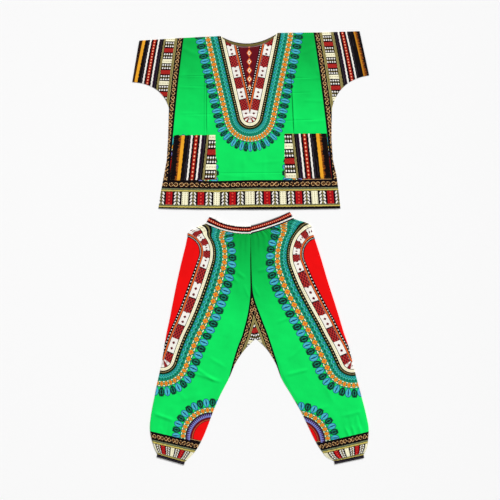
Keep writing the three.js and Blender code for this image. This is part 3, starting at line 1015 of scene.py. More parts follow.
    def _rosette(self, ink: Ink, rosette: Rosette, u: Field, v: Field) -> Ink:
        """Draw the round ornament: petals and lozenges round a ring of small triangles and a red heart."""
        across, rise = (u - rosette.across) * rosette.stretch, v - rosette.up
        reach = (across.squared() + rise.squared()).root() * (self.DRAWN_RADIUS / rosette.radius)
        angle = across.turn(rise) * self.MOTIF_TURN
        depth = self.RING_START * self.RING_SCALE - reach * self.RING_SCALE
        values = {"Depth": depth, "Along": angle, "Ink ground": ink, "Ink core": ink}
        ink = self.rings.place(ink.tree, values)["Ink"]
        triangle = (angle.fold(5.0) * 3.0 + reach).below(99) * reach.above(84)
        ink = ink.over(reach.below(103), Dye.NIGHT).over(reach.below(100), Dye.PLUM)
        ink = ink.over(triangle, Dye.LAVENDER).over(reach.below(82), Dye.MAROON)
        ink = ink.over(reach.near(73.5, 1.8) * angle.fold(2.6).below(1.6), Dye.ORANGE)
        foot = reach.below(84) * v.below(HemPrint.TOP + 8.5)
        ink = ink.over(reach.below(69), Dye.SCARLET).over(foot, Dye.NIGHT)
        return ink.over(foot * v.near(HemPrint.TOP + 5.5, 0.7), Dye.RING_TAN)

    def _core(self, panel: Panel, u: Field, v: Field) -> Ink:
        """Draw a panel's middle: plain on the legs, and a column of lozenges on the shirt."""
        core = Ink(u.tree, panel.core)
        if panel.core is Dye.SCARLET:
            return core
        size = v.fold(18.0) / 17 + u / 12
        for limit, dye in ((1.0, Dye.ORANGE), (0.6, Dye.CREAM), (0.3, Dye.BRICK)):
            core = core.over(size.below(limit), dye)
        return core

    def striped(self, name: str) -> Material:
        """Make the cotton of the pockets and bands, cut from the print's border alone."""
        material, u, v, wrong = self._start(name)
        border = self.border.place(u.tree, {"Across": u, "Along": v})
        return self._finish(material, border["Ink"], u, v, wrong)

    def plain(self, name: str, dye: Dye, edge: Dye, edge_width: float) -> Material:
        """Make plain cotton with a band of another dye along its first edge.

        Args:
            name: the material's name.
            dye: the main dye.
            edge: the dye of the band along the edge.
            edge_width: the width of that band.
        """
        material, u, v, wrong = self._start(name)
        band = (u + (noise(u, v, 8, 1) - 0.5) * 1.4).below(edge_width)
        return self._finish(material, Ink(u.tree, dye).over(band, edge), u, v, wrong)

    def thread(self, name: str, dye: Dye) -> Material:
        """Make twisted cotton thread, with painted shade in the grooves along its ply."""
        material, tree, shader = start_material(name)
        place = tree.nodes.new("ShaderNodeTexCoord")
        parts = tree.nodes.new("ShaderNodeSeparateXYZ")
        tree.links.new(place.outputs["Object"], parts.inputs["Vector"])
        x, y = (Field(tree, parts.outputs[axis]) * 1000 for axis in "XY")
        # Painted shade: the thread darkens in bands where the grooves between its plies would be.
        ply = ((x + y) * (2 * math.pi / self.PLY)).wave() * 0.5 + 0.5
        feed(tree, shader.inputs["Base Color"], Ink(tree, dye).over(ply * 0.35, Dye.NIGHT))
        shader.inputs["Roughness"].default_value = 0.55
        return material


class RunningStitch:
    """A row of stitches along a path, made by Geometry Nodes."""

    SEED = 7

    def __init__(self, pitch: float, length: float, thickness: float, material: Material) -> None:
        """Build the tree.

        Args:
            pitch: from one stitch to the next.
            length: of one stitch.
            thickness: of the thread.
            material: the thread's material.
        """
        self.sizes = {"Pitch": pitch * MM, "Stitch length": length * MM, "Thread": thickness * MM}
        self.tree = bpy.data.node_groups.new("running_stitch", "GeometryNodeTree")
        face = self.tree.interface
        face.new_socket(name="Geometry", in_out="INPUT", socket_type="NodeSocketGeometry")
        for label in self.sizes:
            face.new_socket(name=label, in_out="INPUT", socket_type="NodeSocketFloat")
        face.new_socket(name="Geometry", in_out="OUTPUT", socket_type="NodeSocketGeometry")
        self.material = material
        self._build()

    def _node(self, kind: str, **links: bpy.types.NodeSocket) -> bpy.types.Node:
        """Add a node and link some of its inputs, named with underscores for spaces."""
        node = self.tree.nodes.new(kind)
        for label, socket in links.items():
            self.tree.links.new(socket, node.inputs[label.replace("_", " ")])
        return node

    def _build(self) -> None:
        """Lay a small rounded stitch at each step along the path."""
        start = self.tree.nodes.new("NodeGroupInput")
        curve = self._node("GeometryNodeMeshToCurve", Mesh=start.outputs["Geometry"])
        steps = self._node("GeometryNodeResampleCurve", Curve=curve.outputs["Curve"])
        steps.mode = "LENGTH"
        self.tree.links.new(start.outputs["Pitch"], steps.inputs["Length"])
        ball = self.tree.nodes.new("GeometryNodeMeshUVSphere")
        ball.inputs["Segments"].default_value = 6
        ball.inputs["Rings"].default_value = 4
        ball.inputs["Radius"].default_value = 0.5
        size = self._node("ShaderNodeCombineXYZ", X=start.outputs["Stitch length"], Y=start.outputs["Thread"],
                          Z=start.outputs["Thread"])
        stitch = self._node("GeometryNodeTransform", Geometry=ball.outputs["Mesh"],
                            Scale=size.outputs["Vector"])
        tangent = self.tree.nodes.new("GeometryNodeInputTangent")
        aligned = self._node("FunctionNodeAlignEulerToVector", Vector=tangent.outputs["Tangent"])
        aligned.axis = "X"
        sway = self.tree.nodes.new("FunctionNodeRandomValue")
        sway.data_type = "FLOAT_VECTOR"
        sway.inputs["Min"].default_value = (0.0, 0.0, -0.10)
        sway.inputs["Max"].default_value = (0.0, 0.0, 0.10)
        sway.inputs["Seed"].default_value = self.SEED
        turned = self._node("FunctionNodeRotateEuler", Rotation=aligned.outputs["Rotation"])
        self.tree.links.new(sway.outputs[0], turned.inputs["Rotate By"])
        laid = self._node("GeometryNodeInstanceOnPoints", Points=steps.outputs["Curve"],
                          Instance=stitch.outputs["Geometry"], Rotation=turned.outputs["Rotation"])
        real = self._node("GeometryNodeRealizeInstances", Geometry=laid.outputs["Instances"])
        dressed = self._node("GeometryNodeSetMaterial", Geometry=real.outputs["Geometry"])
        dressed.inputs["Material"].default_value = self.material
        end = self.tree.nodes.new("NodeGroupOutput")
        self.tree.links.new(dressed.outputs["Geometry"], end.inputs["Geometry"])

    def sew(self, name: str, paths: Sequence[Array]) -> bpy.types.Object:
        """Sew along paths of points, and return the stitches as one plain mesh.

        Args:
            name: the piece's name.
            paths: each path's points, in millimetres.
        """
        points, edges = [], []
        for path in paths:
            edges += [(len(points) + i, len(points) + i + 1) for i in range(len(path) - 1)]
            points += (path * MM).tolist()
        guide_mesh = bpy.data.meshes.new(f"{name}_path")
        guide_mesh.from_pydata(points, edges, [])
        guide = add_object(f"{name}_path", guide_mesh)
        modifier = guide.modifiers.new("stitches", "NODES")
        modifier.node_group = self.tree
        for item in self.tree.interface.items_tree:
            if item.in_out == "INPUT" and item.name in self.sizes:
                modifier[item.identifier] = self.sizes[item.name]
        graph = bpy.context.evaluated_depsgraph_get()
        mesh = bpy.data.meshes.new_from_object(guide.evaluated_get(graph))
        guide.modifiers.remove(modifier)
        bpy.data.objects.remove(guide)
        mesh.name = name
        mesh.shade_smooth()
        return add_object(name, mesh)


def ride_as_cloth(piece: bpy.types.Object, node: str, flat: Point, area: float) -> None:
    """Attach a piece of cloth to the body, hide the solid that it replaces, and log its faces and cut area.

    Args:
        piece: the finished piece.
        node: the solid that it replaces.
        flat: not used; the width and length it was cut to, in metres.
        area: the cut's flat area, in square metres.
    """
    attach(piece, BODY)
    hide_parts(node)
    LOG.info("%s: %d faces, cut %.3f m2", piece.name, len(piece.data.polygons), area)


def ride_as_thread(piece: bpy.types.Object) -> None:
    """Tell the frame what a piece of sewing rides on."""
    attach(piece, BODY)
    LOG.info("%s: %d faces", piece.name, len(piece.data.polygons))


@dataclass(frozen=True)
class Neckline:
    """How deep a neckline is cut, and how round."""

    depth: float
    roundness: float


@dataclass
class Shirt:
    """The shirt: two panels with their sleeves in one piece, a neck facing and two patch pockets."""

    sleeve_end_top: dict[Side, Point] = by_side((-462, 860), (451, 899))
    sleeve_end_foot: dict[Side, Point] = by_side((-491, 688), (491, 716))
    armhole_top: dict[Side, Point] = by_side((-302, 870), (296, 894))
    underarm_pull: dict[Side, Point] = by_side((-370, 682), (368, 699))
    neck_point: dict[Side, Point] = by_side((-126, 879), (113, 892))
    side_seam: dict[Side, tuple[Point, ...]] = by_side(
        ((-339, 581), (-341, 515), (-343, 448), (-348, 365), (-360, 300), (-373, 230), (-383, 164)),
        ((337, 581), (335.5, 515), (335, 448), (341, 365), (356, 300), (365, 230), (372, 164)),
    )
    hem_sag: float = 4
    neck_back: Neckline = Neckline(37, 2.0)
    neck_front: Neckline = Neckline(54, 2.6)
    cut: Point = (0.982, 0.739)            # width and length of the front or the back, in metres
    pocket_cut: Point = (0.196, 0.193)
    facing_length: float = 240
    facing_width: float = 12
    facing_clear: float = 0.036
    facing_thickness: float = 0.9
    front_lift: float = 0.15     # air under the front, beside its relief
    back_lift: float = 0.4       # share of its relief that the back shows
    seam_reach: float = 16       # over which the front comes down to a sewn edge
    hem_end: float = 4           # over which a turned hem thins out at a sewn edge
    print_top: float = 871
    print_half_width: tuple[float, float, float] = (271, 0.142, -0.000053)  # and its growth down the cloth
    print_middle: Point = (-7.3, 0.0115)   # and its drift down the cloth
    hem_width: float = 20
    neck_hem_width: float = 7
    spacing: float = 3.6
    back_spacing: float = 9.0
    swell_centre: Point = (-6, 885)
    swell_rise: float = 1.4
    swell_full: float = 135
    swell_none: float = 200
    creases: tuple[Crease, ...] = ridges(
        (-184, 770, -182, 540, 1.1, 26),
        (172, 780, 170, 540, 1.1, 26),
        (-325, 640, -262, 800, 1.4, 30),
        (325, 650, 262, 815, 1.4, 30),
        (-60, 420, -20, 300, 0.8, 30),
        (84, 410, 60, 300, 0.8, 26),
    )
    fine_creases: tuple[Crease, ...] = ridges(
        (-184, 730, -182, 478, 2.4, 6.5, 0.12),
        (-189, 730, -188, 478, -1.0, 6, 0.2),
        (166, 735, 183, 478, 2.4, 6.5, 0.12),
        (160, 735, 176, 478, -1.0, 6, 0.2),
        (-330, 716, -190, 712, 1.1, 6, 0.3),
        (-318, 668, -200, 664, 1.0, 5, 0.3),
        (190, 700, 325, 706, 1.1, 6, 0.3),
        (205, 612, 320, 606, 1.0, 5, 0.3),
        (-300, 560, -205, 548, 1.1, 7, 0.3),
        (215, 520, 330, 530, 1.0, 7, 0.3),
        (-340, 600, -268, 742, 1.9, 9, 0.25),
        (-352, 640, -300, 770, 1.6, 8, 0.3),
        (340, 612, 270, 760, 1.9, 9, 0.25),
        (356, 660, 305, 780, 1.6, 8, 0.3),
        (-30, 405, -24, 250, 1.1, 8, 0.3),
        (60, 400, 52, 262, 1.0, 8, 0.3),
        (-130, 300, 20, 292, 1.0, 7, 0.35),
        (10, 352, 140, 360, 1.0, 7, 0.35),
        (-240, 262, -60, 254, 0.8, 7, 0.35),
        (80, 262, 280, 268, 0.8, 7, 0.35),
        (-300, 838, -205, 790, 1.3, 9, 0.3),
        (300, 850, 205, 800, 1.3, 9, 0.3),
        (-430, 700, -400, 840, 1.0, 9, 0.3),
        (430, 722, 402, 860, 1.0, 9, 0.3),
    )
    press_lines: tuple[PressLine, ...] = (
        PressLine(True, -155.0, -0.0514, 300, 600, -2.4, 4.5),
        PressLine(True, -160.5, -0.0514, 300, 600, 1.4, 4.5),
        PressLine(True, 159.0, 0.028, 300, 590, -2.4, 4.5),
        PressLine(True, 164.5, 0.028, 300, 590, 1.4, 4.5),
        PressLine(False, 554.0, 0.01, -290, -120, -0.9, 4.5),
        PressLine(False, 508.0, 0.0, -290, -110, -0.7, 4.5),
        PressLine(False, 396.0, 0.02, -280, 90, -0.7, 6.0),
        PressLine(False, 150.0, 0.01, -140, 200, -0.8, 4.5),
        PressLine(False, 546.0, -0.01, 120, 280, -0.9, 4.5),
        PressLine(False, 478.0, 0.02, 110, 270, -0.7, 4.5),
        PressLine(False, 362.0, 0.03, 100, 280, -0.8, 4.5),
    )
    pocket_corners: dict[Side, tuple[Point, ...]] = by_side(
        ((-318, 466), (-147, 468), (-338, 279), (-142, 284)),
        ((140, 473), (315, 474), (141, 290), (335, 287)),
    )
    pocket_steps: int = 46
    pocket_hem: float = 16
    pocket_mouth: float = 45     # how far down from its mouth a pocket stands open a little
    pocket_seam: float = 9       # over which a pocket comes down to its stitched edge
    thread_lift: float = 0.12
    hem_thread_steps: int = 149
    pocket_print_edge: float = 519
    pocket_print_scale: Point = (1.05, 1.36)
    pocket_print_shift: dict[Side, float] = by_side(26.5, -37.2)

    def neckline(self, neck: Neckline, share: Array) -> Array:
        """Return plan points of a neckline at shares of the way from left to right."""
        ends = [np.array(self.neck_point[side], float) for side in Side]
        points = mix(ends[0], ends[1], share[:, None])
        points[:, 1] -= neck.depth * (1 - np.abs(2 * share - 1) ** neck.roundness)
        return points

    def side_points(self, side: Side, steps: int) -> Array:
        """Return plan points down a side seam."""
        return resample(np.array(self.side_seam[side], float), steps)

    def hem_line(self, steps: int) -> Array:
        """Return plan points along the hem, which sags a little."""
        foot = run(self.side_seam[Side.LEFT][-1], self.side_seam[Side.RIGHT][-1], steps)
        foot[:, 1] -= self.hem_sag * bow(np.linspace(0, 1, steps + 1))
        return foot

    def underarm(self, side: Side, steps: int) -> Array:
        """Return plan points from a sleeve's end down to its side seam."""
        return pulled_run(self.sleeve_end_foot[side], self.underarm_pull[side], self.side_seam[side][0],
                          steps)

    def plan(self, neck: Neckline, spacing: float) -> list[Array]:
        """Return the plan of a panel with its sleeves: the body and two sleeves, as grids of points."""
        shoulder_steps, neck_steps = round(180 / spacing), round(250 / spacing)
        armhole_steps, side_steps, sleeve_steps = (round(length / spacing) for length in (300, 420, 165))
        top = np.concatenate([
            run(self.armhole_top[Side.LEFT], self.neck_point[Side.LEFT], shoulder_steps),
            self.neckline(neck, np.linspace(0, 1, neck_steps + 1))[1:],
            run(self.neck_point[Side.RIGHT], self.armhole_top[Side.RIGHT], shoulder_steps)[1:],
        ])
        armholes = {side: run(self.armhole_top[side], self.side_seam[side][0], armhole_steps)
                    for side in Side}
        edges = [np.concatenate([armholes[side], self.side_points(side, side_steps)[1:]]) for side in Side]
        grids = [fill_patch(top, self.hem_line(len(top) - 1), *edges)]
        for side in Side:
            sleeve = fill_patch(
                run(self.sleeve_end_top[side], self.armhole_top[side], sleeve_steps),
                self.underarm(side, sleeve_steps),
                run(self.sleeve_end_top[side], self.sleeve_end_foot[side], armhole_steps),
                armholes[side],
            )
            grids.append(sleeve if side is Side.LEFT else sleeve[:, ::-1])
        return grids

    def sewn_edges(self) -> list[Array]:
        """Return the edges where the front and the back are sewn or folded together."""
        edges = []
        for side in Side:
            shoulder = (self.sleeve_end_top[side], self.armhole_top[side], self.neck_point[side])
            edges.append(np.array(shoulder, float))
            edges.append(np.concatenate([self.underarm(side, 12), self.side_points(side, 12)[1:]]))
        return edges

    def open_edges(self, neck: Neckline) -> dict[str, Array]:
        """Return the turned edges: the hem, the sleeve ends and the neckline."""
        edges = {"hem": self.hem_line(24), "neck": self.neckline(neck, np.linspace(0, 1, 41))}
        for side in Side:
            edges[f"sleeve_{side.value}"] = run(self.sleeve_end_top[side], self.sleeve_end_foot[side], 12)
        return edges

    def turned(self, neck: Neckline, x: Array, y: Array) -> Array:
        """Return 1 on the turned hems and 0 off them."""
        hems = np.zeros_like(x)
        for name, path in self.open_edges(neck).items():
            width = self.neck_hem_width if name == "neck" else self.hem_width
            hems = np.maximum(hems, ease((width - distance_to_path(x, y, path)) / 3 + 0.5))
        return hems

    def closed(self, x: Array, y: Array, reach: float) -> Array:
        """Return 1 at an edge that is sewn together, falling to 0 within a reach of it."""
        nearest = np.minimum.reduce([distance_to_path(x, y, edge) for edge in self.sewn_edges()])
        return 1 - ease(nearest / reach) ** 0.7

    def front_underside(self, x: Array, y: Array) -> Array:
        """Return the height of the underside of the front's solid."""
        from_neck = np.hypot(x - self.swell_centre[0], y - self.swell_centre[1])
        swell = self.swell_rise * ease((self.swell_none - from_neck) / (self.swell_none - self.swell_full))
        return CAD_WALL + CAD_GAP + swell + crease_height(self.creases, x, y)

    def front_top(self, x: Array, y: Array) -> Array:
        """Return the height of the front's upper face, brought down to the back at the sewn edges."""
        relief = uneven(x, y) + crease_height(self.fine_creases, x, y)
        free = self.front_underside(x, y) + CLOTH + self.front_lift + relief
        low = 2 * CLOTH + LAYER_CLEARANCE
        return mix(free, low, self.closed(x, y, self.seam_reach)) + self.front_thickness(x, y) - CLOTH

    def front_thickness(self, x: Array, y: Array) -> Array:
        """Return the front's thickness, which grows at its turned hems."""
        hems = self.turned(self.neck_front, x, y) * (1 - self.closed(x, y, self.hem_end))
        return mix(CLOTH, TURNED_CLOTH, hems)

    def print_place(self, x: Array, y: Array) -> Array:
        """Return the place in the print: distance from its middle line, and height above its hem."""
        down = self.print_top - y
        width, flare, curve = self.print_half_width
        half_width = width + flare * down + curve * down ** 2
        centre = self.print_middle[0] + self.print_middle[1] * down
        left, right = (self.side_seam[side][-1] for side in Side)
        sag = self.hem_sag * bow(np.clip((x - left[0]) / (right[0] - left[0]), 0, 1))
        return grid_of((x - centre) / half_width * BorderPrint.FIELD_EDGE, y - left[1] + sag)

    def build_front(self, material: Material) -> None:
        """Build the front panel."""
        wall = ClothWall("shirt_front_cloth")
        area = 0.0
        for plan in self.plan(self.neck_front, self.spacing):
            x, y = plan[..., 0], plan[..., 1]
            top = self.front_top(x, y)
            foot = top - self.front_thickness(x, y)
            wall.add(grid_of(x, y, top), grid_of(x, y, foot), self.print_place(x, y))
            area += area_of(plan)
        ride_as_cloth(wall.make(material), "shirt_front", self.cut, area)

    def build_back(self, material: Material) -> None:
        """Build the back panel, which lies on the floor with its right side down."""
        wall = ClothWall("shirt_back_cloth")
        area = 0.0
        for plan in self.plan(self.neck_back, self.back_spacing):
            x, y = plan[..., 0], plan[..., 1]
            lift = uneven(x, y) * 0.5 + 0.1 * self.turned(self.neck_back, x, y)
            height = CLOTH + lift * (1 - self.closed(x, y, self.seam_reach)) * self.back_lift
            wall.add(grid_of(x, y, 0.0), grid_of(x, y, height), self.print_place(x, y))
            area += area_of(plan)
        ride_as_cloth(wall.make(material), "shirt_back", self.cut, area)

    def build_facing(self, material: Material) -> None:
        """Build the facing turned to the inside of the back neck."""
        share = np.linspace(self.facing_clear, 1 - self.facing_clear, 90)
        line = self.neckline(self.neck_back, share)
        depth = np.array([0.4, 1.2, 3.0, 5.0, 7.5, 10.0, 11.3, self.facing_width])
        x, y = line[:, 0], line[:, 1] - depth[:, None]
        lift = 0.35 * np.sin(np.pi * (depth / self.facing_width))[:, None]
        top = CAD_WALL + CAD_GAP + self.facing_thickness + lift + 0.10 * np.sin(share * 47)[None, :]
        places = grid_of(depth[:, None], share * self.facing_length)
        wall = ClothWall("neck_facing_cloth")
        wall.add(grid_of(x, y, top), grid_of(x, y, top - self.facing_thickness), places)
        flat = (self.facing_length * MM, self.facing_width * MM)
        ride_as_cloth(wall.make(material), "neck_facing", flat, flat[0] * flat[1])

    def pocket_plan(self, side: Side) -> Array:
        """Return a pocket's plan as a grid of points, its top edge first."""
        top_left, top_right, foot_left, foot_right = self.pocket_corners[side]
        steps = self.pocket_steps
        return fill_patch(run(top_left, top_right, steps), run(foot_left, foot_right, steps),
                          run(top_left, foot_left, steps), run(top_right, foot_right, steps))

    def pocket_top(self, side: Side, x: Array, y: Array) -> Array:
        """Return the height of a pocket's upper face, drawn down where it is sewn to the front."""
        top_left, top_right, foot_left, foot_right = self.pocket_corners[side]
        sewn = np.array([top_left, foot_left, foot_right, top_right], float)
        down = 1 - ease(distance_to_path(x, y, sewn) / self.pocket_seam)
        mouth = distance_to_path(x, y, np.array([top_left, top_right], float))
        hem = ease((self.pocket_hem - mouth) / 3 + 0.5) * 0.45
        gape = 0.5 * ease((self.pocket_mouth - mouth) / self.pocket_mouth)
        height = CLOTH + LAYER_CLEARANCE + (0.55 + gape) * (1 - down)
        return self.front_top(x, y) + height + hem

    def build_pocket(self, side: Side, material: Material) -> None:
        """Build one patch pocket, cut from the print's border."""
        plan = self.pocket_plan(side)
        x, y = plan[..., 0], plan[..., 1]
        top = self.pocket_top(side, x, y)
        share = np.linspace(0, 1, plan.shape[1])
        from_outer = share if side is Side.LEFT else 1 - share
        width = np.hypot(*np.moveaxis(plan[:, -1] - plan[:, 0], -1, 0))
        across = self.pocket_print_edge - from_outer[None, :] * width[:, None] / self.pocket_print_scale[0]
        along = y / self.pocket_print_scale[1] + self.pocket_print_shift[side]
        wall = ClothWall(f"pocket_{side.value}_cloth")
        wall.add(grid_of(x, y, top), grid_of(x, y, top - CLOTH), grid_of(across, along))
        ride_as_cloth(wall.make(material), f"pocket_{side.value}", self.pocket_cut,
                      area_of(plan))

    def _on_front(self, path: Array) -> Array:
        """Return a plan path raised onto the front's upper face."""
        return np.column_stack([path, self.front_top(path[:, 0], path[:, 1]) + self.thread_lift])

    def sew(self, stitch: RunningStitch) -> None:
        """Sew the hems, the neckline and the pockets."""
        inset = self.hem_width - 1.5
        hem = self.open_edges(self.neck_front)["hem"] + (0, inset)
        hem[0, 0] += 8
        hem[-1, 0] -= 8
        paths = [self._on_front(resample(hem, self.hem_thread_steps))]
        neck = self.neckline(self.neck_front, np.linspace(0.03, 0.97, 120)) - (0, self.neck_hem_width - 1.2)
        paths.append(self._on_front(neck))
        for side in Side:
            end = run(self.sleeve_end_top[side], self.sleeve_end_foot[side], 40)[1:-1]
            paths.append(self._on_front(end - (side.sign * inset, 0)))
            grid = self.pocket_plan(side)
            edge = np.concatenate([grid[:-1, 1], grid[-2, 1:-1], grid[:-1, -2][::-1]])
            mouth = grid[4, 1:-1]
            for line in (edge, mouth):
                z = self.pocket_top(side, line[:, 0], line[:, 1]) + self.thread_lift
                paths.append(np.column_stack([line, z]))
        ride_as_thread(stitch.sew("shirt_stitching", paths))


# Each row is a section across a leg, from the waist down: its outer fold's x and y, its inner side's x and
# y, how far its middle hangs below the line between them, the air under its front, the height of the gathers
# from the waist and of those from the ankle, and the width of flat cloth in its front.
LEG_SECTIONS = {
    Side.LEFT: (
        (-188, 100, 0, 58, 13, 0.4, 1.7, 0.0, 300),
        (-252, 72, 0, 34, 8, 0.8, 1.7, 0.0, 301),
        (-262, 46, 0, 4, 4, 1.1, 1.2, 0.0, 301),
        (-268, 18, 0, -30, 0, 1.4, 0.6, 0.0, 302),
        (-285, -50, 1, -108, 0, 1.4, 0.0, 0.0, 303),
        (-304, -133, 4, -192, 0, 1.6, 0.0, 0.0, 306),
        (-324, -233, 13, -284, 0, 1.8, 0.0, 0.0, 326),
        (-337, -300, 21, -375, 0, 1.8, 0.0, 0.0, 356),
        (-347, -345, -22, -418, 0, 1.8, 0.0, 0.0, 333),
        (-358, -407, -62, -476, 0, 1.9, 0.0, 0.0, 312),
        (-368, -473, -89, -538, 0, 1.9, 0.0, 0.0, 301),
        (-385, -548, -125, -608, 0, 1.9, 0.0, 0.0, 280),
        (-400, -623, -156, -679, 0, 1.8, 0.0, 0.0, 263),
        (-414, -698, -183, -751, 0, 1.6, 0.0, 0.4, 252),
        (-418, -748, -203, -797, 0, 1.2, 0.0, 1.0, 248),
        (-411, -793, -225, -836, 0, 0.8, 0.0, 1.6, 244),
        (-399, -830, -249, -865, 0, 0.5, 0.0, 1.8, 240),
        (-387, -854, -273, -887, 0, 0.3, 0.0, 1.8, 236),
    ),
    Side.RIGHT: (
        (180, 120, 0, 58, 4, 0.4, 1.7, 0.0, 300),
        (242, 99, 0, 34, 2, 0.8, 1.7, 0.0, 301),
        (256, 66, 0, 4, 0, 1.1, 1.2, 0.0, 301),
        (267, 33, 0, -30, 0, 1.4, 0.6, 0.0, 302),
        (291, -42, 1, -108, 0, 1.4, 0.0, 0.0, 303),
        (318, -133, 4, -192, 0, 1.6, 0.0, 0.0, 306),
        (350, -233, 13, -284, 0, 1.8, 0.0, 0.0, 326),
        (368, -291, 21, -375, 0, 1.8, 0.0, 0.0, 352),
        (384, -345, 62, -414, 0, 1.8, 0.0, 0.0, 326),
        (405, -407, 103, -477, 0, 1.9, 0.0, 0.0, 306),
        (422, -473, 128, -541, 0, 1.9, 0.0, 0.0, 300),
        (441, -548, 169, -610, 0, 1.9, 0.0, 0.0, 282),
        (461, -623, 210, -681, 0, 1.8, 0.0, 0.0, 266),
        (480, -698, 244, -752, 0, 1.6, 0.0, 0.4, 254),
        (489, -748, 267, -799, 0, 1.2, 0.0, 1.0, 248),
        (487, -793, 291, -838, 0, 0.8, 0.0, 1.6, 244),
        (481, -830, 317, -869, 0, 0.5, 0.0, 1.8, 240),
        (468, -858, 346, -884, 0, 0.3, 0.0, 1.8, 236),
    ),
}


FOLD_TURN = np.radians(np.array([60.0, 30.0, 0.0, -30.0, -60.0]))[None, :]


@dataclass(frozen=True)
class Fold:
    """A round fold at the outer side of a layer, which runs from its front to its back.

    Args:
        centre: the round's centre in plan, for every row.
        tip: its outermost point in plan, for every row.
        radius: its radius, and the height of its centre above the floor.
        wall: the layer's thickness.
    """

    centre: tuple[Array, Array]
    tip: tuple[Array, Array]
    radius: float
    wall: float

    def _round(self, reach: float) -> Array:
        """Return the points of one face round the fold."""
        (x, y), (tip_x, tip_y) = self.centre, self.tip
        out = reach * np.cos(FOLD_TURN) / np.hypot(tip_x - x, tip_y - y)
        return grid_of(mix(x, tip_x, out), mix(y, tip_y, out), self.radius + reach * np.sin(FOLD_TURN))

    def faces(self, front: tuple[Array, Array], tops: tuple[Values, Values],
              back: tuple[Array, Array]) -> tuple[Array, Array]:
        """Return the outer and the inner face of the whole layer.

        Args:
            front: the front's plan points, across and up.
            tops: the heights of the front's outer and inner face.
            back: the back's plan points, across and up.
        """
        outer = (grid_of(*front, tops[0]), self._round(self.radius), grid_of(*back, 0.0))
        inner = (grid_of(*front, tops[1]), self._round(self.radius - self.wall), grid_of(*back, self.wall))
        return np.concatenate(outer, axis=1), np.concatenate(inner, axis=1)


